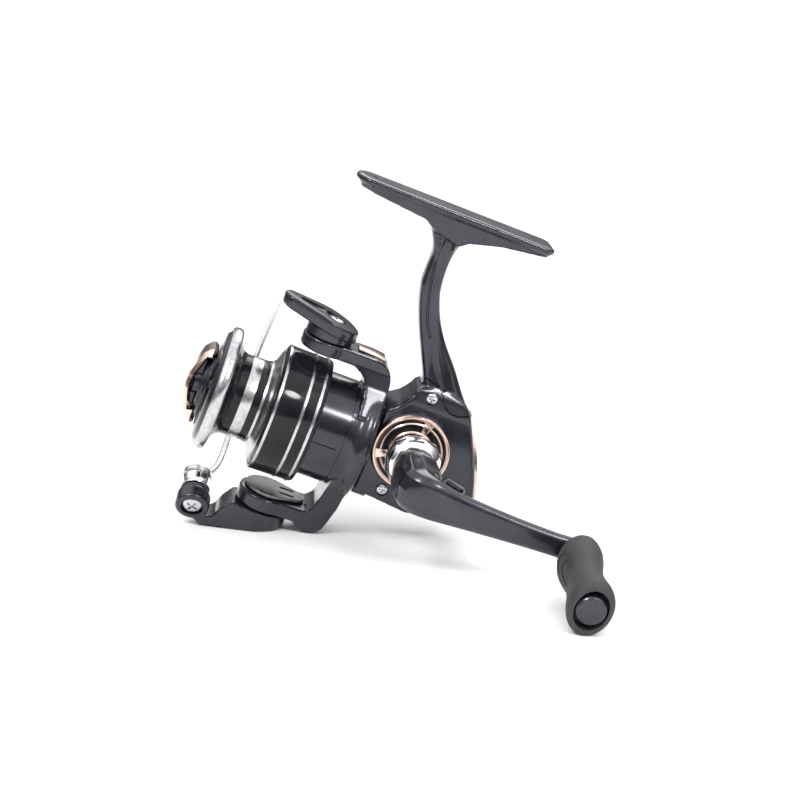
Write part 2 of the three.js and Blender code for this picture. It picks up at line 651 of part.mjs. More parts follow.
function oscillationSlider() {
  const bar = block([slowX - 1.6, slowX + 1.6], [-1.4, 2.3], [-9.1, 5.4]);
  return cut(
    bar,
    block([slowX - 1, slowX + 1], [1.2, 3], [-4.8, 4.8]),
    rod("x", 1.02, -15, 0, [0, 0, 0], 20),
    rod("x", 0.95, -15, 0, [0, 0, -8.1], 20),
  );
}
const clickRatchet = () => {
  const teeth = spurOutline(20, 0.45, 0.05);
  return cut(plate("x", teeth, 28.7, 29.5), rod("x", 1.45, 20, 30));
};
const spoolWasher = () => tube("x", 1.45, 3.2, 29.8, 30.3);

// ---- Spool, lip and drag ----
function spool() {
  const profile = [
    [1.45, 30.6], [4.2, 30.6], [4.2, 36.2], [15.2, 36.2], [15.5, skirtRear], [16.7, skirtRear],
    [skirtRadius, 36.6], [skirtRadius, flangeFace], [12.6, 39.2], [11.2, 40.3],
    [arborRadius, 41.4], [arborRadius, 47], [12.2, 48.8], [15.4, 50.1],
    [15.2, 52.3], [14.1, 53.6], [11, 54], [9.6, 53.7], [9.6, 47.2], [1.45, 47.2],
  ];
  return turned("x", profile, [0, 0, 0], 34);
}

function spoolLip() {
  const profile = [[15.7, 50.2], [16.2, 50.6], [lipRadius, 51.4], [16.1, lipFront], [15.6, 52.4]];
  return turned("x", profile, [0, 0, 0], 36);
}

const dragWasher = (from, thick, inner, outer) => tube("x", inner, outer, from, from + thick, [0, 0, 0], 24);

function dragClip() {
  const ring = tube("x", 8.5, 9.3, 51, 51.6, [0, 0, 0], 28);
  return cut(ring, block([50, 53], [-1.5, 1.5], [5, 12]));
}

// A faceted bright arch over the knob's bar, its two legs let into the knob's edge.
const archOuter = [
  [knobRear + 0.1, 10.8], [57.6, 9.6], [59.4, 3.4], [knobFront, -1.4], [57.9, -8], [knobRear + 0.1, -11],
];
const archInner = [
  [knobRear - 1, 9.6], [56.8, 8.6], [58.4, 3], [58.8, -1.3], [57.1, -7.1], [knobRear - 1, -9.7],
];
const archHalf = 4.6;

function dragKnob() {
  const disc = [[0, knobRear], [10.5, knobRear], [10.5, 55.3], [9.8, 56], [0, 56]];
  const base = turned("x", disc, [0, 0, 0], 36);
  const under = cut(
    plate("y", archOuter, -archHalf - gap, archHalf + gap, { grow: gap }),
    plate("y", archInner, -archHalf - 2, archHalf + 2, { grow: -gap }),
  );
  const stem = rod("x", 3, 52.6, knobRear + 0.1, [0, 0, 0], 24);
  const bar = plate("y", [[55.9, -7.2], [55.9, 8.2], [57.9, 2.8], [58.4, -1.2]], -2.9, 2.9);
  const hub = rod("x", 3.9, 55.9, 57.6, [0, 0, 0], 24);
  return cut(join(cut(base, under), stem, bar, hub), rod("x", 1.4, 50, shaftFront + 0.4));
}

function dragShell() {
  return cut(plate("y", archOuter, -archHalf, archHalf), plate("y", archInner, -archHalf - 1, archHalf + 1));
}

const dragSpring = () => tube("x", 3.6, 5.2, 51.9, 52.3, [0, 0, 0], 20);

// ---- Assembly ----
const reel = new THREE.Group();
reel.add(
  piece("reel_body", gunmetal, reelBody()),
  piece("side_cover", gunmetal, sideCover()),
  piece("boss_ring", roseGold, bossRing()),
  piece("rear_trim", roseGold, rearTrim()),
  piece("anti_reverse_lever", darkPlastic, antiReverseLever()),
  piece("gear_bearing_left", steel, ballBearing("y", 2.75, 4.25, -8.5, -6.6, crankAt)),
  piece("gear_bearing_right", steel, ballBearing("y", 2.75, 4.25, 6.4, 8.3, crankAt)),
  piece("pinion_bearing", steel, ballBearing("x", 2.05, 4.3, 11.1, 13.4)),
  piece("slider_guide_rod", steel, guideRod()),
  piece("clutch_outer_ring", steel, clutchOuter()),
  piece("clutch_roller_cage", darkPlastic, clutchCage()),

  piece("drive_gear", zinc, driveGear()),
  piece("handle_shaft", steel, handleShaft()),
  piece("shaft_cap", gunmetal, shaftCap()),
  piece("handle_collar", chrome, handleCollar()),
  piece("handle_arm", gunmetal, handleArm()),
  piece("knob_axle", steel, knobAxle()),
  piece("knob_bush", brass, knobBush()),
  piece("handle_knob", rubber, handleKnob()),
  piece("knob_cap", gunmetal, knobCap()),
  piece("oscillation_gear", zinc, oscillationGear()),

  piece("rotor", gunmetal, rotor()),
  piece("pinion_gear", brass, pinionGear()),
  piece("rotor_nut", brass, rotorNut()),
  piece("clutch_sleeve", steel, clutchSleeve()),
  piece("rotor_arm_plate", zinc, armPlate()),
  piece("rotor_arm_trim", roseGold, armTrim()),
  piece("bail_spring", steel, bailSpring()),
  piece("bail_trip_lever", steel, tripLever()),

  piece("bail_holder", gunmetal, bailHolder()),
  piece("bail_arm", gunmetal, bailArm()),
  piece("bail_wire", chrome, bailWire()),
  piece("bail_screw_upper", steel, upperScrew()),
  piece("bail_screw_lower", steel, lowerScrew()),
  piece("roller_screw", steel, rollerScrew()),
  piece("roller_bush", darkPlastic, rollerBush()),
  piece("line_roller", chrome, lineRoller()),

  piece("main_shaft", steel, mainShaft()),
  piece("oscillation_slider", darkPlastic, oscillationSlider()),
  piece("click_ratchet", darkPlastic, clickRatchet()),
  piece("spool_washer", brass, spoolWasher()),
  piece("spool", blackGloss, spool()),
  piece("spool_lip", chrome, spoolLip()),
  piece("drag_washer_rear", felt, dragWasher(47.5, 0.5, 1.6, 8.6)),
  piece("drag_washer_keyed", steel, dragWasher(48.3, 0.6, 1.6, 8.8)),
  piece("drag_washer_front", felt, dragWasher(49.2, 0.5, 1.6, 8.6)),
  piece("drag_pressure_plate", steel, dragWasher(50, 0.6, 1.6, 8)),
  piece("drag_clip", steel, dragClip()),
  piece("drag_spring", steel, dragSpring()),
  piece("drag_knob", gunmetal, dragKnob()),
  piece("drag_knob_shell", roseGold, dragShell()),
);
coverScrews.forEach((at, index) => {
  reel.add(piece("cover_screw_" + ["upper", "front", "rear"][index], steel, coverScrew(at)));
});

reel.rotation.set(THREE.MathUtils.degToRad(sideRoll), THREE.MathUtils.degToRad(-nosePitch), 0);
const turnedRound = new THREE.Group();
turnedRound.rotation.z = Math.PI;
turnedRound.add(reel);
const standing = new THREE.Group();
standing.add(turnedRound);
const box = new THREE.Box3().setFromObject(standing, true);
const middle = box.getCenter(new THREE.Vector3());
turnedRound.position.set(-middle.x, -middle.y, -box.min.z);

export default standing;
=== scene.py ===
import json
import math

import bpy
from mathutils import Matrix, Vector


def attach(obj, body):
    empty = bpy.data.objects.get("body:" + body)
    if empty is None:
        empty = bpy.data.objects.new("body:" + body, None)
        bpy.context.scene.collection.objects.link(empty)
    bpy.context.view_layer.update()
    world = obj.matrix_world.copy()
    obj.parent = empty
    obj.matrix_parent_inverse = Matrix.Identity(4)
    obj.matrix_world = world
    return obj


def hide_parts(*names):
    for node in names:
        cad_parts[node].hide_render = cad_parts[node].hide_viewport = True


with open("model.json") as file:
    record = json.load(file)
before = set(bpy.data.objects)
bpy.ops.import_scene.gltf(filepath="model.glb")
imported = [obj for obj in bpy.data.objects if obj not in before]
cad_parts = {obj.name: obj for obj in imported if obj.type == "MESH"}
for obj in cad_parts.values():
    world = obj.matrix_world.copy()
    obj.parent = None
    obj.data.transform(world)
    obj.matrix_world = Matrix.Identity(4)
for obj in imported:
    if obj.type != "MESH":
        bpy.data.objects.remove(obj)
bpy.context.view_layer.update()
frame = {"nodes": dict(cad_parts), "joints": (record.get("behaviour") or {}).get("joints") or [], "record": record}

# Everything is modelled in millimetres in the reel's own frame, then set down as the CAD has it:
# +X forward along the spool axis, +Y to the handle side, +Z up to the foot.
joints = {joint["name"]: joint for joint in frame["joints"]}
forward = Vector(joints["main_shaft_slide"]["axis"]).normalized()
upward = Vector(frame["record"]["mounts"][0]["axis"]).normalized()
sideways = upward.cross(forward).normalized()
upward = forward.cross(sideways)
rotorJointX = 20  # mm, where the rotor's joint sits on the spool axis
spoolCentre = Vector(joints["rotor_spin"]["pos_m"]) - forward * rotorJointX / 1000
turnOfReel = Matrix((forward, sideways, upward)).transposed().to_4x4()
reelToRow = Matrix.Translation(spoolCentre) @ turnOfReel @ Matrix.Scale(0.001, 4)


def alongX(x=0, y=0, z=0):
    return Matrix.Translation((x, y, z))


def alongY(x=0, y=0, z=0):
    return Matrix.Translation((x, y, z)) @ Matrix.Rotation(math.radians(90), 4, "Z")


def alongZ(x=0, y=0, z=0):
    return Matrix.Translation((x, y, z)) @ Matrix.Rotation(math.radians(-90), 4, "Y")


def alongLine(start, direction):
    turn = Vector((1, 0, 0)).rotation_difference(Vector(direction)).to_matrix().to_4x4()
    return Matrix.Translation(start) @ turn


def editMode():
    bpy.ops.object.mode_set(mode="EDIT")
    bpy.ops.mesh.select_all(action="SELECT")


def objectMode():
    bpy.ops.object.mode_set(mode="OBJECT")


def pickOnly(piece):
    bpy.ops.object.select_all(action="DESELECT")
    piece.select_set(True)
    bpy.context.view_layer.objects.active = piece


def settle(piece, place):
    # puts the piece's place into its mesh
    pickOnly(piece)
    piece.matrix_world = place @ piece.matrix_world
    bpy.ops.object.transform_apply(location=True, rotation=True, scale=True)
    return piece


def drawLine(name, corners):
    # one vertex, pushed from corner to corner
    bpy.ops.object.select_all(action="DESELECT")
    bpy.ops.mesh.primitive_plane_add(size=0.1)
    piece = bpy.context.active_object
    piece.name = name
    editMode()
    bpy.ops.mesh.merge(type="CENTER")
    here = Vector(corners[0])
    bpy.ops.transform.translate(value=here)
    for corner in corners[1:]:
        step = Vector(corner) - here
        bpy.ops.mesh.extrude_vertices_move(TRANSFORM_OT_translate={"value": step})
        here = Vector(corner)
    return piece


def tidyMesh(distance=0.0005):
    bpy.ops.mesh.select_all(action="SELECT")
    bpy.ops.mesh.remove_doubles(threshold=distance)
    bpy.ops.mesh.normals_make_consistent(inside=False)
    objectMode()


def spinPiece(name, profile, place=None, steps=96, soften=0, wide=1, tall=1):
    # the profile is radius and distance along the axis, from the axis round to the axis or closed
    closed = profile[0][0] > 0
    corners = [(along, 0, radius) for radius, along in profile]
    if closed:
        corners.append(corners[0])
    piece = drawLine(name, corners)
    bpy.ops.mesh.select_all(action="SELECT")
    bpy.ops.mesh.spin(steps=steps, angle=2 * math.pi, center=(0, 0, 0), axis=(1, 0, 0))
    tidyMesh()
    settle(piece, Matrix.Diagonal((1, wide, tall, 1)))
    if soften:
        roundEdges(piece, soften)
    return settle(piece, place) if place else piece


def slabPiece(name, outline, low, high, across="y", soften=0, segments=3, place=None):
    # a closed outline, filled and pushed from low to high
    if across == "y":
        corners = [(u, low, v) for u, v in outline]
        push = (0, high - low, 0)
    elif across == "x":
        corners = [(low, u, v) for u, v in outline]
        push = (high - low, 0, 0)
    else:
        corners = [(u, v, low) for u, v in outline]
        push = (0, 0, high - low)
    piece = drawLine(name, corners)
    bpy.ops.mesh.select_all(action="SELECT")
    bpy.ops.mesh.edge_face_add()
    bpy.ops.mesh.select_all(action="SELECT")
    bpy.ops.mesh.extrude_region_move(TRANSFORM_OT_translate={"value": push})
    tidyMesh()
    if soften:
        roundEdges(piece, soften, segments)
    return settle(piece, place) if place else piece


def plugPiece(name, radius, low, high, place=None, steps=48):
    return spinPiece(name, [(0, low), (radius, low), (radius, high), (0, high)], place, steps)


def boxOutline(lowU, lowV, highU, highV):
    return [(lowU, lowV), (highU, lowV), (highU, highV), (lowU, highV)]


def loftPiece(name, sections, power, sides=48):
    # each section is a centre and its two half axes; a higher power gives squarer corners
    def ringPoint(section, angle):
        centre, first, second = (Vector(part) for part in section)
        c, s = math.cos(angle), math.sin(angle)
        along = math.copysign(abs(c) ** (2 / power), c)
        up = math.copysign(abs(s) ** (2 / power), s)
        return centre + first * along + second * up

    bpy.ops.object.select_all(action="DESELECT")
    bpy.ops.mesh.primitive_circle_add(vertices=sides, radius=1, fill_type="NGON")
    piece = bpy.context.active_object
    piece.name = name
    angles = [math.atan2(vertex.co.y, vertex.co.x) for vertex in piece.data.vertices]
    for vertex, angle in zip(piece.data.vertices, angles):
        vertex.co = ringPoint(sections[0], angle)
    editMode()
    for before, after in zip(sections, sections[1:]):
        bpy.ops.object.mode_set(mode="EDIT")
        bpy.ops.mesh.extrude_region_move(TRANSFORM_OT_translate={"value": (0, 0, 0)})
        objectMode()
        moving = [vertex for vertex in piece.data.vertices if vertex.select]
        for vertex in moving:
            nearest = min(angles, key=lambda angle: (ringPoint(before, angle) - vertex.co).length_squared)
            vertex.co = ringPoint(after, nearest)
    editMode()
    tidyMesh(0.0001)
    return piece


def roundEdges(piece, width, segments=3, angle=35):
    pickOnly(piece)
    bevel = piece.modifiers.new("round", "BEVEL")
    bevel.width = width
    bevel.segments = segments
    bevel.limit_method = "ANGLE"
    bevel.angle_limit = math.radians(angle)
    bpy.ops.object.modifier_apply(modifier=bevel.name)


def combine(piece, other, operation):
    pickOnly(piece)
    boolean = piece.modifiers.new("combine", "BOOLEAN")
    boolean.operation = operation
    boolean.solver = "EXACT"
    boolean.object = other
    bpy.ops.object.modifier_apply(modifier=boolean.name)
    bpy.data.objects.remove(other)
    return piece


def weld(piece, *others):
    for other in others:
        combine(piece, other, "UNION")
    return piece


def carve(piece, *others):
    for other in others:
        combine(piece, other, "DIFFERENCE")
    return piece


def castPiece(piece, grain=0.4, passes=8):
    # melts the welded forms into one casting with soft inner corners
    pickOnly(piece)
    remesh = piece.modifiers.new("cast", "REMESH")
    remesh.mode = "VOXEL"
    remesh.voxel_size = grain
    bpy.ops.object.modifier_apply(modifier=remesh.name)
    smooth = piece.modifiers.new("ease", "SMOOTH")
    smooth.factor = 0.5
    smooth.iterations = passes
    bpy.ops.object.modifier_apply(modifier=smooth.name)
    return piece


def copyPiece(piece, name):
    twin = piece.copy()
    twin.data = piece.data.copy()
    twin.name = name
    bpy.context.scene.collection.objects.link(twin)
    return twin


def wirePiece(name, route, thickness):
    bpy.ops.object.select_all(action="DESELECT")
    bpy.ops.curve.primitive_nurbs_path_add()
    curve = bpy.context.active_object
    curve.name = name
    curve.data.splines.clear()
    spline = curve.data.splines.new("POLY")
    spline.points.add(len(route) - 1)
    for point, spot in zip(spline.points, route):
        point.co = (*spot, 1)
    curve.data.bevel_depth = thickness / 2
    curve.data.bevel_resolution = 5
    curve.data.use_fill_caps = True
    bpy.ops.object.convert(target="MESH")
    piece = bpy.context.active_object
    editMode()
    tidyMesh()
    return piece


def smoothRun(corners, perSpan=6):
    # an even curve through the corners
    ends = [corners[0], *corners, corners[-1]]
    run = []
    for a, b, c, d in zip(ends, ends[1:], ends[2:], ends[3:]):
        for step in range(perSpan):
            t = step / perSpan
            point = []
            for p, q, r, s in zip(a, b, c, d):
                bend = (2 * p - 5 * q + 4 * r - s) * t**2 + (3 * q - p - 3 * r + s) * t**3
                point.append(0.5 * (2 * q + (r - p) * t + bend))
            run.append(tuple(point))
    return run + [tuple(corners[-1])]


def arcRun(centreU, radius, start, stop, steps):
    angles = [math.radians(start + (stop - start) * step / steps) for step in range(steps + 1)]
    return [(centreU + radius * math.cos(a), radius * math.sin(a)) for a in angles]


def linkOutline(startX, startRadius, endX, endRadius):
    # two rounds of their own size, joined by straight sides
    lean = math.degrees(math.acos((startRadius - endRadius) / (endX - startX)))
    return arcRun(startX, startRadius, lean, 360 - lean, 40) + arcRun(endX, endRadius, -lean, lean, 30)


def handOver(piece, material, body, slot, *nodes):
    # into the row's frame, with its finish, its body and the CAD nodes it stands for
    settle(piece, reelToRow)
    piece.data.materials.clear()
    piece.data.materials.append(material)
    pickOnly(piece)
    bpy.ops.object.shade_smooth_by_angle(angle=math.radians(32))
    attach(piece, body)
    if nodes:
        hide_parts(*nodes)
    return piece


class Signal:
    # one socket, with sums written as sums
    def __init__(self, bench, socket):
        self.bench = bench
        self.socket = socket

    def work(self, operation, first, second):
        return self.bench.node("ShaderNodeMath", {"operation": operation}, {0: first, 1: second})

    def __add__(self, other):
        return self.work("ADD", self, other)

    def __sub__(self, other):
        return self.work("SUBTRACT", self, other)

    def __rsub__(self, other):
        return self.work("SUBTRACT", other, self)

    def __mul__(self, other):
        return self.work("MULTIPLY", self, other)

    __radd__ = __add__
    __rmul__ = __mul__


class Bench:
    # the node tree of a material or of the room
    def __init__(self, owner, shader="Principled BSDF", place="Object"):
        owner.use_nodes = True
        self.owner = owner
        self.tree = owner.node_tree
        self.shader = self.tree.nodes[shader]
        self.place = self.node("ShaderNodeTexCoord", {}, {}, place)

    def node(self, kind, settings, inputs, output=0):
        made = self.tree.nodes.new(kind)
        for key, value in settings.items():
            if key == "stops":
                self.setStops(made.color_ramp.elements, value)
            else:
                setattr(made, key, value)
        for key, value in inputs.items():
            self.plug(made.inputs[key], value)
        return Signal(self, made.outputs[output])

    def plug(self, socket, value):
        if isinstance(value, Signal):
            self.tree.links.new(value.socket, socket)
        else:
            socket.default_value = value

    def setStops(self, elements, stops):
        for index, (spot, tone) in enumerate(stops):
            element = elements[index] if index < 2 else elements.new(spot)
            element.position = spot
            element.color = (tone, tone, tone * 1.01, 1)

    def noise(self, scale, detail):
        inputs = {"Vector": self.place, "Scale": scale, "Detail": detail}
        return self.node("ShaderNodeTexNoise", {}, inputs, "Fac")

    def ramp(self, signal, low, high, fromValue=0.3, toValue=0.7):
        inputs = {"Value": signal, "To Min": low, "To Max": high, "From Min": fromValue, "From Max": toValue}
        return self.node("ShaderNodeMapRange", {}, inputs)

    def mix(self, factor, first, second):
        inputs = {0: factor, 6: (*first, 1), 7: (*second, 1)}  # 6 and 7 are the two colours
        return self.node("ShaderNodeMix", {"data_type": "RGBA"}, inputs, 2)

    def set(self, **values):
        for key, value in values.items():
            self.plug(self.shader.inputs[key.replace("_", " ")], value)
        return self

    def bump(self, height, strength, depth):
        inputs = {"Height": height, "Strength": strength, "Distance": depth}
        self.set(Normal=self.node("ShaderNodeBump", {}, inputs, "Normal"))
        return self.owner


def paintFinish(name, base, sheen, roughness, flake=0.35):
    # pearl paint: fine bright flakes in a dark coat, with soft unevenness
    bench = Bench(bpy.data.materials.new(name))
    flakeSpots = {"Vector": bench.place, "Scale": 5200.0}
    flakes = bench.node("ShaderNodeTexVoronoi", {"feature": "F1"}, flakeSpots, "Color")
    glints = bench.node("ShaderNodeSeparateColor", {}, {"Color": flakes}, 0)
    clouds = bench.noise(160.0, 3)
    bright = bench.ramp(glints, 0.0, 1.0, 0.72, 1.0) * flake
    coat = bench.mix(bench.ramp(clouds, 0.0, 0.35) + bright, base, sheen)
    bench.set(Roughness=bench.ramp(clouds, roughness - 0.04, roughness + 0.05))
    bench.set(Base_Color=coat, Metallic=0.55, Coat_Weight=0.5, Coat_Roughness=0.12)
    grain = bench.noise(2600.0, 2)
    return bench.bump(grain, 0.12, 0.00004)


def metalFinish(name, base, tint, roughness, wear=0.05, scale=900.0):
    # bare or plated metal, with scuffs and a very fine grain
    bench = Bench(bpy.data.materials.new(name))
    scuffs = bench.noise(scale, 4)
    fine = bench.noise(scale * 7, 2)
    bench.set(Base_Color=bench.mix(bench.ramp(scuffs, 0.0, 1.0), base, tint), Metallic=1.0)
    bench.set(Roughness=bench.ramp(scuffs, roughness, roughness + wear) + fine * 0.03)
    return bench.bump(fine, 0.05, 0.00002)


def plainFinish(name, base, tint, roughness, grainScale, grainDepth, strength=0.4, shine=0.5):
    # paint, plastic, rubber or felt, with clouds of tone and a fine grain
    bench = Bench(bpy.data.materials.new(name))
    clouds = bench.noise(240.0, 3)
    grain = bench.noise(grainScale, 3)
    bench.set(Base_Color=bench.mix(bench.ramp(clouds, 0.0, 1.0), base, tint))
    bench.set(Roughness=bench.ramp(clouds, roughness - 0.05, roughness + 0.05), Specular_IOR_Level=shine)
    return bench.bump(grain, strength, grainDepth)


paint = paintFinish("gunmetalPearl", (0.013, 0.013, 0.019), (0.048, 0.047, 0.070), 0.24)
paintDark = paintFinish("gunmetalDeep", (0.010, 0.010, 0.014), (0.034, 0.034, 0.048), 0.26)
roseGold = metalFinish("roseGoldPlate", (0.70, 0.52, 0.45), (0.78, 0.61, 0.54), 0.12)
chrome = metalFinish("chromePlate", (0.80, 0.80, 0.82), (0.90, 0.90, 0.92), 0.05, 0.04, 400.0)
steel = metalFinish("brightSteel", (0.52, 0.52, 0.53), (0.66, 0.66, 0.67), 0.22)
satin = metalFinish("satinAluminium", (0.40, 0.40, 0.41), (0.58, 0.58, 0.59), 0.2)
zinc = metalFinish("castZinc", (0.16, 0.16, 0.165), (0.26, 0.26, 0.265), 0.42, 0.1)
brass = metalFinish("turnedBrass", (0.62, 0.44, 0.17), (0.74, 0.55, 0.25), 0.25)
gloss = plainFinish(
    "glossBlack", (0.006, 0.006, 0.008), (0.012, 0.012, 0.015), 0.1, 300.0, 0.00001, 0.1, shine=0.25
)
dark = plainFinish("darkPlastic", (0.010, 0.010, 0.012), (0.02, 0.02, 0.024), 0.45, 2400.0, 0.00003)
rubber = plainFinish("softRubber", (0.022, 0.022, 0.024), (0.035, 0.035, 0.038), 0.68, 3200.0, 0.00006)
felt = plainFinish("woolFelt", (0.13, 0.11, 0.09), (0.2, 0.17, 0.13), 0.95, 1800.0, 0.0002, 0.9)

slotFinishes = {
    "gunmetal_paint": paint, "rose_gold": roseGold, "dark_plastic": dark, "rubber": rubber, "chrome": chrome,
    "steel": steel, "brass": brass, "zinc": zinc, "black_gloss": gloss, "felt": felt,
}
for entry in frame["record"]["subparts"]:
    node = frame["nodes"][entry["node"]]
    node.data.materials.clear()
    node.data.materials.append(slotFinishes[entry["material_slot"]])
print("finishes made")

view = {
    "eye": (72.6, 365.5, 120.1),  # mm in the reel's frame
    "right": (-0.9257, 0.0596, 0.3735),
    "down": (-0.3368, 0.3196, -0.8857),
    "lens": 66.7,
}
bpy.ops.object.select_all(action="DESELECT")
bpy.ops.object.camera_add()
camera = bpy.context.active_object
rightWay = (turnOfReel.to_3x3() @ Vector(view["right"])).normalized()
upWay = -(turnOfReel.to_3x3() @ Vector(view["down"])).normalized()
backWay = rightWay.cross(upWay)
cameraTurn = Matrix((rightWay, upWay, backWay)).transposed().to_4x4()
camera.matrix_world = Matrix.Translation(reelToRow @ Vector(view["eye"])) @ cameraTurn
camera.data.lens = view["lens"]
camera.data.sensor_width = 36
camera.data.clip_start = 0.01
bpy.context.scene.camera = camera

studio = {
    "floor": 12.0, "floorTone": (0.92, 0.92, 0.915), "sweep": 1.05, "room": 1.0,
    "roomTones": [(0.0, 0.1), (0.15, 0.16), (0.4, 0.5), (0.62, 1.5)],  # height looked at, brightness
    "aim": (0, 0, 0.04),
    "lights": {  # place in metres, watts, size
        "keyLight": ((-0.45, -0.5, 0.75), 4.6, 0.3),
        "fillLight": ((0.7, -0.5, 0.45), 1.0, 0.6),
        "rimLight": ((0.2, 0.7, 0.7), 2.4, 0.6),
        "stripLight": ((0.35, -0.6, 0.55), 2.4, 0.16),
    },
}
bpy.ops.mesh.primitive_plane_add(size=studio["floor"])
floor = bpy.context.active_object
floor.name = "studio_floor"
editMode()
bpy.ops.mesh.subdivide(number_cuts=1)
objectMode()
floorSpeck = tuple(tone * 0.99 for tone in studio["floorTone"])
paleFloor = plainFinish("paleFloor", studio["floorTone"], floorSpeck, 0.55, 40.0, 0.00001, 0.05)
floor.data.materials.append(paleFloor)


def lightRoom():
    # a bright ceiling over a dim room, with a white sweep behind
    world = bpy.data.worlds.new("studio")
    bench = Bench(world, "Background", "Generated")
    height = bench.node("ShaderNodeSeparateXYZ", {}, {0: bench.place}, "Z")
    tones = bench.node("ShaderNodeValToRGB", {"stops": studio["roomTones"]}, {0: height})
    bench.set(Color=tones, Strength=studio["room"])
    room = Signal(bench, bench.shader.outputs[0])
    sweep = bench.node("ShaderNodeBackground", {}, {"Color": (1, 1, 1, 1), "Strength": studio["sweep"]})
    toCamera = bench.node("ShaderNodeLightPath", {}, {}, "Is Camera Ray")
    both = bench.node("ShaderNodeMixShader", {}, {0: toCamera, 1: room, 2: sweep})
    bench.plug(bench.tree.nodes["World Output"].inputs[0], both)
    bpy.context.scene.world = world
    bpy.context.scene.view_settings.view_transform = "Standard"


def softLight(name, spot, power, size):
    bpy.ops.object.light_add(type="AREA", location=spot)
    light = bpy.context.active_object
    light.name = name
    light.data.energy = power
    light.data.shape = "DISK"
    light.data.size = size
    light.rotation_euler = (Vector(studio["aim"]) - Vector(spot)).to_track_quat("-Z", "Y").to_euler()


lightRoom()
for name, (spot, power, size) in studio["lights"].items():
    softLight(name, spot, power, size)
print("studio set")

# Housing, stem and foot, melted into one casting; the side cover is cut from the same form.
housing = {
    "half": 9.0, "boss": 10.4, "bossFace": 9.9, "nose": 9.2, "noseFront": 18.3, "seam": 0.35, "grain": 0.36,
}
foot = {"top": 65.5, "thick": 1.7, "front": 38.2, "rear": -14.8, "half": 6.35}
crankZ = 4.3
crankAxis = alongY(0, 0, crankZ)

caseTop = smoothRun([
    (6.6, 15.1), (4.9, 18), (3.9, 20.4), (0, 21.5), (-4, 21.6), (-8.6, 20.6), (-11.2, 18.2),
])
caseRear = smoothRun([(-11.2, 18.2), (-15.9, 9), (-18.9, 2.2), (-20.7, -3.5)])
caseOutline = [(3.6, -11.5), (10, -11), (10, 12.2)] + caseTop + caseRear[1:]
caseOutline += [(-20.2, -7.4), (-14, -11.2), (-4.8, -12.4)]
gearCase = slabPiece("reelBody", caseOutline, -housing["half"], housing["half"])
caseView = [
    (-9, -14), (9, -14), (9, 16.5), (8.2, 20), (6, 24), (-1, 24), (-2.6, 21), (-4.5, 16.5), (-7, 11),
    (-9, 4),
]
combine(gearCase, slabPiece("caseForm", caseView, -30, 45, "x"), "INTERSECT")
roundEdges(gearCase, 1.0)

stemEdges = [  # front x and z, rear x and z, middle y, half width
    (19.5, 63.4, 0.5, 63.4, 0, 3.9), (17.2, 60.4, 5.4, 60.2, 0, 3.6), (14.9, 57, 7.6, 56.8, 0, 3.5),
    (13.4, 53.2, 8.3, 52.6, 0, 3.45), (13.2, 48, 8, 47.4, 0, 3.6), (12.9, 43.8, 7.1, 43.2, 0, 3.8),
    (11.2, 38.4, 4.6, 37.6, 0, 4.1), (8.8, 32.8, 0.9, 32.2, 0.1, 4.5), (5.9, 27, -3.9, 26.8, 0.6, 5.0),
    (3.6, 22, -8.2, 21.4, 1.3, 5.8), (3.0, 17, -12.2, 17, 1.5, 6.9), (3, 12, -14.4, 12, 1, 7.6),
]
stemSections = []
for frontX, frontZ, rearX, rearZ, middleY, half in smoothRun(stemEdges, 4):
    centre = ((frontX + rearX) / 2, middleY, (frontZ + rearZ) / 2)
    stemSections.append((centre, ((frontX - rearX) / 2, 0, (frontZ - rearZ) / 2), (0, half, 0)))
stem = loftPiece("stem", stemSections, 4.2)

footOutline = arcRun(foot["front"] - foot["half"], foot["half"], -62, 62, 20)
footOutline += [(-13.3, foot["half"]), (foot["rear"], 4.9), (foot["rear"], -4.9), (-13.3, -foot["half"])]
footPlate = slabPiece("footPlate", footOutline, foot["top"] - foot["thick"], foot["top"], "z", 0.4)
webSide = [
    (36.6, 64.4), (36.9, 62.7), (30, 62), (18.5, 60.9), (15.8, 59.2), (8.2, 57.4), (6.2, 59), (-1.8, 61.2),
    (-14, 62.9), (-14, 64.4),
]
webTop = [
    (20.5, -5.3), (33, -5.2), (36.6, -3), (36.6, 3), (33, 5.2), (20.5, 5.3), (2, 5.3), (-13.6, 5.3),
    (-13.6, -5.3), (2, -5.3),
]
web = slabPiece("web", webSide, -6, 6, soften=0.3)
combine(web, slabPiece("webForm", webTop, 50, 70, "z"), "INTERSECT")
nose = plugPiece("nose", housing["nose"], 8, housing["noseFront"], None, 96)
boss, face = housing["boss"], housing["bossFace"]
farBossSide = [(0, -face), (boss - 0.6, -face), (boss, 0.6 - face), (boss, -7), (0, -7)]
farBoss = spinPiece("farBoss", farBossSide, crankAxis)
nearBossSide = [(0, 7), (boss, 7), (boss, face - 0.4), (boss - 0.3, face), (0, face)]
nearBoss = spinPiece("nearBoss", nearBossSide, crankAxis)
frontFillet = [(12.4, 63.4), (12.9, 63.4), (13.0, 57.4), (12.2, 52.6), (11.9, 52.8)]
frontGusset = slabPiece("gusset", frontFillet, -4.5, 4.5)
rearGusset = slabPiece("gusset", [(9.4, 63.4), (10.2, 63.4), (9.2, 55.4), (8.7, 55.8)], -4.7, 4.7)
weld(gearCase, stem, footPlate, web, farBoss, frontGusset, rearGusset)
castPiece(gearCase, housing["grain"])
weld(gearCase, nearBoss)

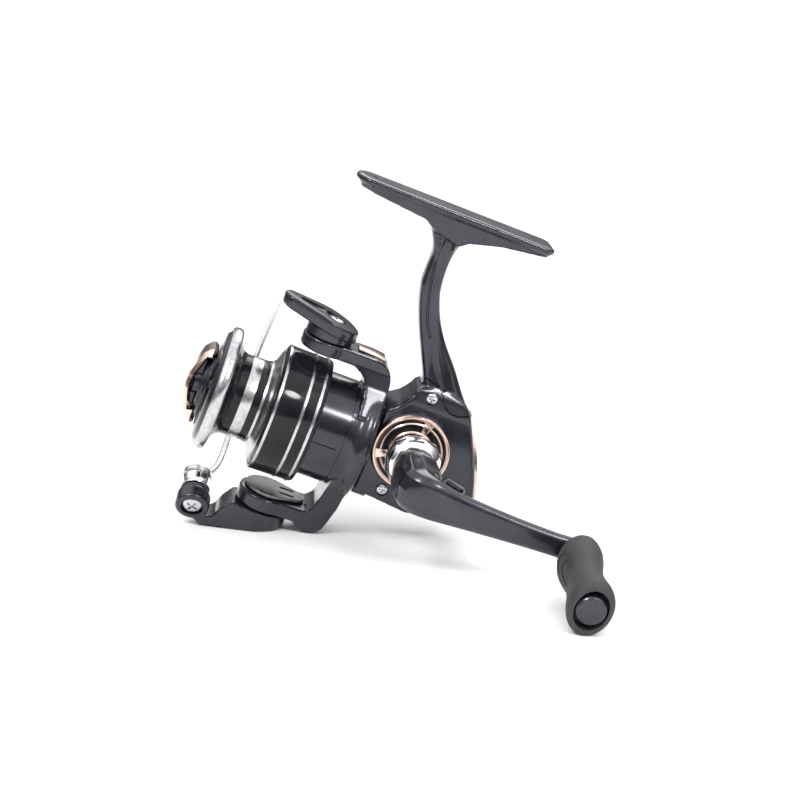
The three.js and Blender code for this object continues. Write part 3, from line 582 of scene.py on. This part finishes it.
coverOutline = [
    (12, -16), (12, 13.2), (6.4, 16.9), (4.8, 22.4), (2.6, 23), (-0.9, 22.1), (-2.6, 20.3),
    (-3.6, 18.3), (-5.6, 17), (-8, 16.9), (-16, 20), (-26, 20), (-26, -16),
]
cover = copyPiece(gearCase, "sideCover")
combine(cover, slabPiece("coverForm", coverOutline, 5.3, 13), "INTERSECT")
carve(gearCase, slabPiece("seamForm", [(u, v + housing["seam"]) for u, v in coverOutline], 5, 13))
weld(gearCase, nose)
lowerWell = [
    (8.4, -9.6), (8.4, 10), (-12.6, 10), (-14.2, 8.4), (-19, -3), (-18.8, -6.4), (-15.4, -9.5),
    (-4.8, -10.7), (3, -9.9),
]
upperWell = [
    (8.2, 9), (8.2, 10.4), (4.6, 14.4), (2.4, 15.2), (-6, 15.2), (-10, 14), (-12.6, 10.6), (-12.6, 9),
]
carve(
    gearCase,
    plugPiece("noseBore", 7.7, 13.6, 20),
    plugPiece("shaftBore", 3, -5, 14),
    slabPiece("gearWell", lowerWell, -6.6, 5.6),
    slabPiece("gearWellTop", upperWell, -4.6, 5.6),
    slabPiece("leverSlot", boxOutline(5, -16, 9.1, -8), -4.5, 4.5),
    plugPiece("footHole", 0.6, 60, 67, alongZ(33.4, 0, 0), 24),
)
leafFront = smoothRun([(5.7, 33), (3.6, 28.4), (1.3, 24.6), (-2.2, 21.3)], 4)
leafRear = smoothRun([(-3.0, 21.9), (-0.2, 25.9), (1.7, 29.2), (3.7, 31.9)], 4)
leafGroove = slabPiece("leafGroove", leafFront + leafRear, 4.0, 12)
leafDepth = [(0, 18), (5.9, 18), (5.4, 21.5), (4.7, 25), (4.1, 29), (3.8, 33), (3.6, 37), (0, 37)]
carve(gearCase, carve(leafGroove, slabPiece("leafFloor", leafDepth, -8, 8, "x")))
panelSpots = [(12.0, 3.2, 52), (11.0, 3.6, 46), (9.4, 3.9, 40), (7.8, 4.25, 36), (6.0, 4.45, 33)]
carve(gearCase, wirePiece("panelLine", smoothRun(panelSpots, 5), 0.7))
handOver(gearCase, paint, "housing", "gunmetal_paint", "reel_body")
print("housing made")

# Side cover, with wells for its screws and a rimmed slot low at the back.
screwSpots = {"upper": (0.1, 19.2), "front": (2.9, -8.3), "rear": (-17.4, -6.9)}
slot = {"reach": 2.1, "front": 1.15, "rear": 1.1, "rim": 0.45, "lean": -14}
for x, z in screwSpots.values():
    carve(cover, plugPiece("screwWell", 1.75, 8, 12, alongY(x, 0, z), 32))
carve(cover, plugPiece("bossBore", 4.9, 5, 12, crankAxis, 64))
slotPlace = Matrix.Translation((-14.4, 0, -0.8)) @ Matrix.Rotation(math.radians(slot["lean"]), 4, "Y")


def slotOutline(grow):
    return linkOutline(-slot["reach"], slot["front"] + grow, slot["reach"], slot["rear"] + grow)


slotRim = slabPiece("slotRim", slotOutline(0), 8.6, 9.35, soften=0.15, place=slotPlace)
carve(cover, slabPiece("slotWell", slotOutline(0.05), 8.3, 12, place=slotPlace))
carve(slotRim, slabPiece("slotHole", slotOutline(-slot["rim"]), 8, 12, place=slotPlace))
handOver(slotRim, zinc, "housing", "zinc")
handOver(cover, paint, "housing", "gunmetal_paint", "side_cover")


def crossScrew(name, place, radius, body, node):
    # a domed head with a cross recess
    neck = radius * 0.62
    profile = [(0, -1.6), (neck, -1.6), (neck, -0.6), (radius, -0.6), (radius, 0)]
    profile += [(radius * 0.7, 0.28), (0, 0.4)]
    head = spinPiece(name, profile, None, 48, 0.08)
    for reachY, reachZ in ((neck, radius * 0.12), (radius * 0.12, neck)):
        carve(head, slabPiece("recess", boxOutline(-reachY, -reachZ, reachY, reachZ), -0.4, 1, "x"))
    return handOver(settle(head, place), steel, body, "steel", node)


for label, (x, z) in screwSpots.items():
    crossScrew("coverScrew_" + label, alongY(x, 8.9, z), 1.4, "housing", "cover_screw_" + label)
print("side cover made")

# Rose gold ring of three circles and three spokes round the handle boss.
ring = {"outer": 10.2, "inner": 9.0, "face": 11.1, "back": 10.2, "spokes": (20, 140, 260)}
bossWell = spinPiece("bossWell", boxOutline(5.2, 9.5, 9.3, 10.15), crankAxis, 96, 0.05)
handOver(bossWell, gloss, "housing", "black_gloss")
ringProfile = [
    (ring["inner"], ring["back"]), (ring["outer"] - 0.1, ring["back"]), (ring["outer"], 10.5),
    (9.9, ring["face"]), (9.5, ring["face"] + 0.1), (9.2, 10.9), (ring["inner"], 10.7),
]
outerRing = spinPiece("bossRing", ringProfile, crankAxis, 128, 0.06)
hubSide = [(5.4, 10.0), (6.0, 10.0), (6.0, 10.7), (5.7, 11.0), (5.4, 11.0)]
midSide = [(7.7, 10.0), (8.2, 10.0), (8.2, 10.6), (8.0, 10.75), (7.7, 10.6)]
hubRing = spinPiece("hubRing", hubSide, crankAxis, 96, 0.06)
midRing = spinPiece("midRing", midSide, crankAxis, 96, 0.05)
weld(outerRing, hubRing, midRing)
spokeView = [(5.8, -0.7), (9.2, -1.3), (9.2, 1.3), (5.8, 0.7)]
for degrees in ring["spokes"]:
    spoke = slabPiece("spoke", spokeView, ring["back"], 10.85, soften=0.1)
    settle(spoke, Matrix.Translation((0, 0, crankZ)) @ Matrix.Rotation(math.radians(degrees), 4, "Y"))
    weld(outerRing, spoke)
handOver(outerRing, roseGold, "housing", "rose_gold", "boss_ring")

# Rear trim, narrower towards its top.
trim = {"half": 6.2, "lowest": -8, "top": 17.2}
trimInner = smoothRun([(-10.9, 18.2), (-15.9, 9), (-18.9, 2.4), (-20.95, -3.5)])
trimOuter = smoothRun([(-21.9, -3.7), (-19.8, 2.6), (-16.8, 9.4), (-11.7, 18.7)])
trimOutline = trimInner + [(-20.6, -7.2), (-21.4, -7)] + trimOuter
rearTrim = slabPiece("rearTrim", trimOutline, -trim["half"], trim["half"], soften=0.2)
trimView = [
    (-trim["half"], trim["lowest"]), (trim["half"], trim["lowest"]), (trim["half"], 4),
    (4.6, trim["top"]), (-1, trim["top"]), (-5.4, 8),
]
combine(rearTrim, slabPiece("trimForm", trimView, -30, 0, "x"), "INTERSECT")
handOver(rearTrim, roseGold, "housing", "rose_gold", "rear_trim")

# Anti-reverse lever with grip notches.
lever = {"low": -14.6, "notches": 5, "firstNotch": 5.7, "pitch": 0.65, "notchHalf": 0.16}
leverOutline = [(-1, -7.9), (-1.8, -13.2), (-1.4, lever["low"])]
leverOutline += [(1.4, lever["low"]), (1.8, -13.2), (1, -7.9)]
blade = slabPiece("antiReverseLever", leverOutline, 5.2, 8.8, "x", 0.2)
for step in range(lever["notches"]):
    x = lever["firstNotch"] + step * lever["pitch"]
    notch = boxOutline(x - lever["notchHalf"], -15, x + lever["notchHalf"], -14.1)
    carve(blade, slabPiece("notch", notch, -2.4, 2.4))
handOver(blade, dark, "anti_reverse", "dark_plastic", "anti_reverse_lever")
print("housing trim made")

# Handle: a plated neck and a collar of twelve facets, then the faceted arm.
crank = {
    "neck": [(1.5, 10.4), (4.7, 10.4), (4.8, 11.2), (4.6, 12.6), (4.9, 14.6), (1.5, 14.6)],
    "collar": [(1.5, 14.2), (5.0, 14.2), (6.7, 15.2), (7.4, 17.4), (7.0, 19.8), (5.7, 21.5), (1.5, 21.5)],
    "facets": 12,
    "root": ((21.8, 4.5), (23, 5.2), (25, 5.6), (29, 5.7), (32.5, 5.6)),  # y, radius
    "elbow": ((24, 0.1, 35.4, 5.1, 5.5), (48, -1.0, 37.5, 4.0, 5.4), (72, -3.6, 38.9, 2.8, 5.1)),
    "blade": (
        (-8, 39.4, 4.1, 2.15, 4.5), (-15, 39.6, 4.1, 2.05, 3.9), (-25, 39.9, 4.2, 1.95, 3.3),
        (-34, 40.2, 4.4, 1.85, 3.0), (-40, 40.4, 4.6, 1.7, 3.0), (-44.2, 40.5, 4.6, 1.3, 2.3),
    ),
}
neck = spinPiece("handleNeck", crank["neck"], crankAxis, 96, 0.12)
collar = spinPiece("handleCollar", crank["collar"], crankAxis, crank["facets"], 0.12)
handOver(neck, chrome, "crank", "chrome", "handle_collar")
handOver(collar, chrome, "crank", "chrome", "handle_collar")


def crankSections():
    # centre and the two half axes of each section, from the collar to the far end of the blade
    sections = [((0, y, crankZ), (radius, 0, 0), (0, 0, radius)) for y, radius in crank["root"]]
    for turn, x, y, thick, tall in crank["elbow"]:
        c, s = math.cos(math.radians(turn)), math.sin(math.radians(turn))
        sections.append(((x, y, crankZ), (c * thick, s * thick, 0), (0, 0, tall)))
    sections += [((x, y, z), (0, thick, 0), (0, 0, tall)) for x, y, z, thick, tall in crank["blade"]]
    flatSections = smoothRun([sum(section, ()) for section in sections], 4)
    return [(flat[:3], flat[3:6], flat[6:]) for flat in flatSections]


crankArm = loftPiece("handleArm", crankSections(), 3, crank["facets"])
roundEdges(crankArm, 0.4, 2, 14)
handOver(crankArm, paint, "crank", "gunmetal_paint", "handle_arm")
print("crank made")

# Grip: an oval turning with a sunk leaf on each side, and a cap in its end.
knob = {
    "wide": 0.82, "tall": 1.05, "length": 28.2,
    "inset": 10,  # the joint sits this far out along the grip
    "leafMiddle": 12.5, "leafLong": 8.2, "leafHigh": 3.6,
    "leafSteps": ((1, 0.955), (0.62, 0.9)),  # share of the leaf's size, share of the grip's width left
}
gripAxis = Vector(joints["knob_spin"]["axis"]).normalized()
gripPlace = reelToRow.inverted() @ Vector(joints["knob_spin"]["pos_m"])
gripWay = (turnOfReel.to_3x3().inverted() @ gripAxis).normalized()
gripFrame = alongLine(gripPlace - gripWay * knob["inset"], gripWay)
gripRun = smoothRun([  # distance along the grip, radius
    (0, 5.0), (0.6, 5.7), (2, 6.15), (5, 6.45), (9, 6.0), (14, 5.25), (19, 5.45), (24, 6.3), (26.4, 6.5),
    (27.6, 6.2), (knob["length"], 5.4),
], 5)
gripSide = [(radius, along) for along, radius in gripRun]
gripProfile = [(3.6, 0)] + gripSide + [(4.8, knob["length"]), (4.8, 25.4), (3.6, 25.4)]
grip = spinPiece("handleKnob", gripProfile, None, 96, 0, knob["wide"], knob["tall"])
for size, left in knob["leafSteps"]:
    leaf = []
    for step in range(40):
        angle = step / 20 * math.pi
        along = knob["leafMiddle"] + knob["leafLong"] * size * math.cos(angle)
        leaf.append((along, knob["leafHigh"] * size * math.sin(angle)))
    coreProfile = [(0, -1), (6, -1)] + gripSide[1:] + [(0, knob["length"])]
    core = spinPiece("leafCore", coreProfile, None, 64, 0, knob["wide"] * left, knob["tall"] * 1.1)
    carve(grip, carve(slabPiece("leaf", leaf, -8, 8), core))
handOver(settle(grip, gripFrame), rubber, "knob", "rubber", "handle_knob")
capProfile = [(0, 25.8), (3.6, 25.8), (3.6, 28.1), (3.2, 28.55), (2.7, 28.6), (0, 28.65)]
gripCap = spinPiece("knobCap", capProfile, gripFrame, 72, 0.08)
handOver(gripCap, paint, "knob", "gunmetal_paint", "knob_cap")

capSide = [(0, -13.4), (3.2, -13.4), (4.4, -12.6), (4.4, -10.3), (0, -10.3)]
farCap = spinPiece("shaftCap", capSide, crankAxis, 64, 0.25)
carve(farCap, slabPiece("capSlot", boxOutline(-3.4, crankZ - 0.5, 3.4, crankZ + 0.5), -14, -12.9))
handOver(farCap, paint, "crank", "gunmetal_paint", "shaft_cap")
print("grip and far cap made")

# Rotor: a cup round the spool's skirt and two arms that carry the bail.
rotor = {"cup": 14.1, "front": 32, "inside": 12.7, "floor": 21.5, "rearInside": 9.7, "grain": 0.34}
bailX = 29.6
cupProfile = [
    (rotor["rearInside"], 10.7), (15.2, 10.7), (16, 11.3), (16.1, 12.2), (15.7, 13.2), (14.5, 14.6),
    (rotor["cup"], 15.6), (rotor["cup"], 16.8), (13.8, 16.9), (13.8, 17.3), (rotor["cup"], 17.4),
    (rotor["cup"], rotor["front"]), (rotor["inside"], rotor["front"]), (rotor["inside"], rotor["floor"]),
    (2.1, rotor["floor"]), (2.1, 19.4), (rotor["rearInside"], 19.4),
]
rotorBody = spinPiece("rotorBody", cupProfile, None, 128)


def rotorArm(name, side, view, soften, bossProfile):
    # the arm's side outline, cut to its outline from the front, with a round boss for the bail
    arm = combine(slabPiece(name, side, -14, 14), slabPiece(name + "Form", view, 0, 45, "x"), "INTERSECT")
    roundEdges(arm, soften)
    return weld(arm, spinPiece(name + "Boss", bossProfile, alongZ(bailX, 0, 0)))


upperSide = [(11.2, 8)] + smoothRun([(11.2, 10), (10.8, 16.4), (11.7, 20.3), (14.6, 22.5), (17.5, 22.8)])
upperSide += [(bailX, 22.8), (bailX, 19.3)]
upperSide += smoothRun([(21.4, 19.3), (18.6, 17.8), (17, 15.4), (16.4, 10)]) + [(16.4, 8)]
upperView = [(-12, 9), (-7, 16), (-5.3, 20), (-5.3, 30), (5.3, 30), (5.3, 20), (7, 16), (12, 9)]
upperBoss = [(0, 19.3), (6.4, 19.3), (6.6, 19.6), (6.6, 22.5), (6.3, 22.8), (0, 22.8)]
lowerSide = [(11.2, -8), (11.2, -10), (11.4, -19)]
lowerSide += smoothRun([(11.4, -19), (13.1, -25.4), (15.2, -27.2), (18, -27.4), (20.2, -27)])
lowerSide += [(20.9, -26.1), (bailX, -26.1), (bailX, -22.2)]
lowerSide += smoothRun([(19.2, -22.2), (17.3, -20), (16.8, -16), (16.4, -10)]) + [(16.4, -8)]
lowerView = [(-12, -9), (-8, -16), (-6.4, -20), (-6.4, -30), (6.4, -30), (6.4, -20), (8, -16), (12, -9)]
lowerBoss = [(0, -26.1), (7.2, -26.1), (7.5, -25.8), (7.5, -22.5), (7.2, -22.2), (0, -22.2)]
upperArm = rotorArm("upperArm", upperSide, upperView, 0.8, upperBoss)
lowerArm = rotorArm("lowerArm", lowerSide, lowerView, 0.9, lowerBoss)
weld(rotorBody, upperArm, lowerArm)
carve(
    rotorBody,
    plugPiece("rotorInside", rotor["rearInside"], 5, 19.4, None, 96),
    plugPiece("skirtSpace", rotor["inside"], rotor["floor"], 40, None, 96),
)
castPiece(rotorBody, rotor["grain"], 6)
for degrees in range(-20, 269, 48):
    groove = slabPiece("cupGroove", boxOutline(-0.22, 13.75, 0.22, 15), 19, 31, "x")
    carve(rotorBody, settle(groove, Matrix.Rotation(math.radians(degrees), 4, "X")))
carve(rotorBody, spinPiece("cupLine", boxOutline(13.75, 17.6, 16, 18), None, 96))
carve(rotorBody, plugPiece("shaftHole", 2.1, 15, 25))
handOver(rotorBody, paint, "rotor_group", "gunmetal_paint", "rotor")

innerPlate = slabPiece("rotorArmPlate", linkOutline(22.9, 3.4, bailX, 6.2), -21.9, -21.1, "z", 0.15)
for low in (-2.4, 1.2):
    carve(innerPlate, slabPiece("plateSlot", boxOutline(22.6, low, 26.6, low + 1.2), -24, -18, "z"))
handOver(innerPlate, zinc, "rotor_group", "zinc", "rotor_arm_plate")
armTrimSide = [
    (17.2, 22.9), (14.3, 22.6), (13.8, 22.7), (14, 23.1), (17.2, 23.5), (21.4, 23.5), (21.4, 22.9),
]
armTrim = slabPiece("rotorArmTrim", armTrimSide, -2.7, 2.7, soften=0.12)
handOver(armTrim, roseGold, "rotor_group", "rose_gold", "rotor_arm_trim")
print("rotor made")

# Bail: the holder above, the arm with its roller below, and the wire between them.
bail = {
    "wire": 1.8, "wireTop": 28.7, "wirePlane": 42.2, "depth": 34.4,
    "steps": 160, "bendPower": 20,  # a higher power bends the wire forward nearer to the roller
    "grain": 0.3,
}
holderSide = [(22, 23.7), (45, 27.6), (45, 30.9), (33, 29.1), (28, 28), (22, 26.6)]
holderForm = slabPiece("holderForm", linkOutline(bailX, 7, 40.2, 3.8), 20, 35, "z")
holder = combine(slabPiece("bailHolder", holderSide, -9, 9), holderForm, "INTERSECT")
roundEdges(holder, 0.9, 4, 50)
holderHub = [(0, 23.1), (6.1, 23.1), (6.3, 23.3), (6.3, 25.4), (0, 25.4)]
weld(holder, spinPiece("holderHub", holderHub, alongZ(bailX, 0, 0)))
carve(holder, slabPiece("holderPocket", linkOutline(34.0, 2.2, 38.6, 1.3), 28.9, 33, "z"))
carve(holder, plugPiece("holderWell", 2.9, 27.3, 30, alongZ(bailX, 0, 0)))
handOver(holder, paint, "bail", "gunmetal_paint", "bail_holder")
crossScrew("bailScrewUpper", alongZ(bailX, 0, 27.9), 2.4, "bail", "bail_screw_upper")

rollerInset = 8  # the joint sits this far out along the roller's axis
rollerWay = (turnOfReel.to_3x3().inverted() @ Vector(joints["line_roller_spin"]["axis"])).normalized()
rollerStart = reelToRow.inverted() @ Vector(joints["line_roller_spin"]["pos_m"]) - rollerWay * rollerInset
rollerFrame = alongLine(rollerStart, rollerWay)
turnAbout = Matrix.Rotation(math.pi, 4, "Z")
armSide = [(20, -26.5), (20, -29.2)]
armSide += smoothRun([(20, -29.2), (23.4, -30.4), (28, -31.2), (36, -33.7), (44, -36.2)], 4)
armSide += [(46, -34.6), (46, -32)]
armSide += smoothRun([(43.5, -33.4), (41.2, -32.6), (39.8, -29.5), (37.6, -26.5)], 4)
armForm = slabPiece("armForm", linkOutline(bailX, 7.3, 45, 3.9), -40, -20, "z")
bailArm = combine(slabPiece("bailArm", armSide, -9, 9), armForm, "INTERSECT")
roundEdges(bailArm, 0.9, 4)
carve(bailArm, plugPiece("beyond", 6, 4.3, 14, rollerFrame))
rollerCup = [(0, 0.3), (3.6, 0), (4.3, 0.2), (4.5, 0.7), (4.5, 4.1), (4.2, 4.4), (0, 4.4)]
weld(bailArm, spinPiece("rollerCup", rollerCup, rollerFrame, 72))
castPiece(bailArm, bail["grain"], 5)
carve(bailArm, plugPiece("cupWell", 2.95, -2, 1.6, rollerFrame))
handOver(bailArm, paint, "bail", "gunmetal_paint", "bail_arm")
crossScrew("rollerScrew", rollerFrame @ alongX(0.8) @ turnAbout, 2.6, "bail", "roller_screw")
crossScrew("bailScrewLower", alongZ(bailX, 0, -30.8) @ turnAbout, 2.5, "bail", "bail_screw_lower")
bushProfile = [(1.35, 4.7), (3.9, 4.7), (4.0, 5.0), (3.9, 5.5), (3.2, 5.8), (2.1, 6), (2.1, 10), (1.35, 10)]
bush = spinPiece("rollerBush", bushProfile, rollerFrame, 72, 0.06)
handOver(bush, dark, "bail", "dark_plastic", "roller_bush")
rollerProfile = [
    (2.4, 6.3), (3.8, 6.3), (3.95, 6.6), (3.6, 7.3), (3.45, 8.1), (3.6, 9.0), (3.95, 9.8), (3.8, 10.1),
    (2.4, 10.1),
]
roller = spinPiece("lineRoller", rollerProfile, rollerFrame, 72, 0.05)
handOver(roller, chrome, "roller", "chrome", "line_roller")


def wireRun():
    # half an oval round the far side of the spool, from the roller up to the holder
    end = rollerStart + rollerWay * 11.8
    span, middle = (bail["wireTop"] - end.z) / 2, (bail["wireTop"] + end.z) / 2
    run = []
    for step in range(bail["steps"] + 1):
        t = step / bail["steps"]
        angle = math.pi * (t - 0.5)
        x = bail["wirePlane"] + (end.x - bail["wirePlane"]) * (1 - t) ** bail["bendPower"]
        y = end.y * (0.5 - 0.5 * math.sin(angle)) - bail["depth"] * math.cos(angle)
        run.append((x, y, middle + span * math.sin(angle)))
    return run


bailWire = wirePiece("bailWire", wireRun(), bail["wire"])
coneProfile = [(0, 10.5), (3.7, 10.5), (3.9, 10.8), (3.9, 12.2), (3.3, 12.9), (1.3, 13.7), (0, 13.8)]
weld(bailWire, spinPiece("wireCone", coneProfile, rollerFrame, 72, 0.06))
handOver(bailWire, steel, "bail", "chrome", "bail_wire")
print("bail made")

# Spool: turned parts, from the skirt forward to the nose, with bright bands on the skirt and a bright lip.
spool = {
    "bands": (27.1, 30.4, 37.2), "bandHalf": 0.35, "skirtOuter": 16.98, "steps": 160,
    "parts": {  # finish, slot, and a profile of radius and distance along the axis
        "spoolSkirt": (gloss, "black_gloss", [
            (15.3, 36.2), (15.5, 26.2), (15.7, 25.75), (16.5, 25.7), (16.75, 26.2), (16.9, 36.6),
            (16.9, 37.4), (16.6, 37.7), (15.0, 38.3), (14.2, 38.4), (14.2, 36.3),
        ]),
        "spoolFloor": (dark, "black_gloss", [
            (1.5, 30.7), (4.2, 30.7), (4.2, 36.3), (14.3, 36.3), (14.3, 38.2), (1.5, 38.2),
        ]),
        "spoolFlange": (satin, "chrome", [
            (14.0, 38.0), (15.2, 38.2), (14.4, 38.7), (12.2, 39.4), (11.4, 40), (11.2, 40.6), (10.6, 40.6),
            (10.6, 38.0),
        ]),
        "arborRear": (gloss, "black_gloss", [
            (10.6, 40.6), (11.15, 40.6), (10.95, 41.4), (10.9, 42.6), (10.6, 42.6),
        ]),
        "arborBand": (satin, "chrome", boxOutline(10.6, 42.6, 10.98, 45.4)),
        "arborFront": (gloss, "black_gloss", [
            (10.6, 45.4), (10.9, 45.4), (10.9, 47), (11.4, 48.1), (12.4, 48.8), (15.2, 49.9), (15.4, 50.3),
            (10.6, 50.3),
        ]),
        "spoolNose": (paintDark, "black_gloss", [
            (9.7, 50.3), (15.3, 50.3), (15.5, 52.2), (14.3, 53.5), (13.9, 53.7), (11.4, 54.05),
            (11.1, 53.9), (10.9, 53.4), (9.7, 53.4),
        ]),
    },
    "lip": [
        (15.4, 49.7), (16.0, 49.9), (16.35, 50.4), (16.45, 51.2), (16.3, 52.1), (15.8, 52.7), (15.3, 52.7),
        (15.35, 51.6),
    ],
}
for name, (finish, slotName, profile) in spool["parts"].items():
    part = spinPiece(name, profile, None, spool["steps"], 0.05)
    handOver(part, finish, "spool_group", slotName, "spool")
for index, x in enumerate(spool["bands"]):
    bandProfile = boxOutline(16.6, x - spool["bandHalf"], spool["skirtOuter"], x + spool["bandHalf"])
    band = spinPiece("skirtBand_" + str(index), bandProfile, None, spool["steps"], 0.04)
    handOver(band, satin, "spool_group", "chrome", "spool")
lip = spinPiece("spoolLip", spool["lip"], None, spool["steps"], 0.06)
handOver(lip, satin, "spool_group", "chrome", "spool_lip")
print("spool made")

# Drag knob: a stepped disc with a grip bar, under a bright arched shell.
drag = {
    "disc": 9.2, "tier": 7.2, "hub": 3.7, "barHalf": 2.4, "shellHalf": 4.8,
    "bar": [(55.9, -6.2), (55.9, 8.2), (57.0, 7.2), (58.4, 2.8), (58.8, -1.2), (57.4, -6.2)],
    "archOuter": [(54.5, 10.9), (57.6, 9.7), (59.4, 3.4), (59.9, -1.4), (57.9, -8.1), (54.5, -11.1)],
    "archInner": [(53, 9.3), (56.8, 8.2), (58.5, 3.0), (58.9, -1.3), (57.2, -6.9), (53, -5.9)],
}
disc, tier, hub = drag["disc"], drag["tier"], drag["hub"]
discPlate = [(0, 54.3), (disc - 0.2, 54.3), (disc, 54.5), (disc, 54.9), (disc - 0.4, 55.3), (0, 55.4)]
dragKnob = spinPiece("dragKnob", discPlate, None, 96)
tierPlate = [(0, 55.2), (tier, 55.2), (tier, 55.8), (tier - 0.4, 56.2), (0, 56.2)]
hubPlate = [(0, 55.9), (hub, 55.9), (hub, 57.6), (hub - 0.4, 58.1), (0, 58.1)]
dragBar = slabPiece("dragBar", drag["bar"], -drag["barHalf"], drag["barHalf"], soften=0.7, segments=1)
dragTier = spinPiece("dragTier", tierPlate, None, 96)
dragHub = spinPiece("dragHub", hubPlate, None, 72)
weld(dragKnob, dragTier, dragHub, dragBar)
handOver(dragKnob, paintDark, "drag", "gunmetal_paint", "drag_knob")
shell = slabPiece("dragShell", drag["archOuter"], -drag["shellHalf"], drag["shellHalf"])
roundEdges(shell, 1.2, 1, 25)
carve(shell, slabPiece("shellInside", drag["archInner"], -6, 6))
carve(shell, slabPiece("shellBreak", [(58, 1.5), (62, 1.2), (62, 2.1), (58, 2.3)], -6, 6))
for side in (-drag["shellHalf"], drag["shellHalf"]):
    groove = [(57.0, side, -8.4), (54.9, side, -10.2), (54.9, side, -7.2)]
    carve(shell, wirePiece("shellGroove", groove, 0.4))
handOver(shell, roseGold, "drag", "rose_gold", "drag_knob_shell")
print("drag knob made")
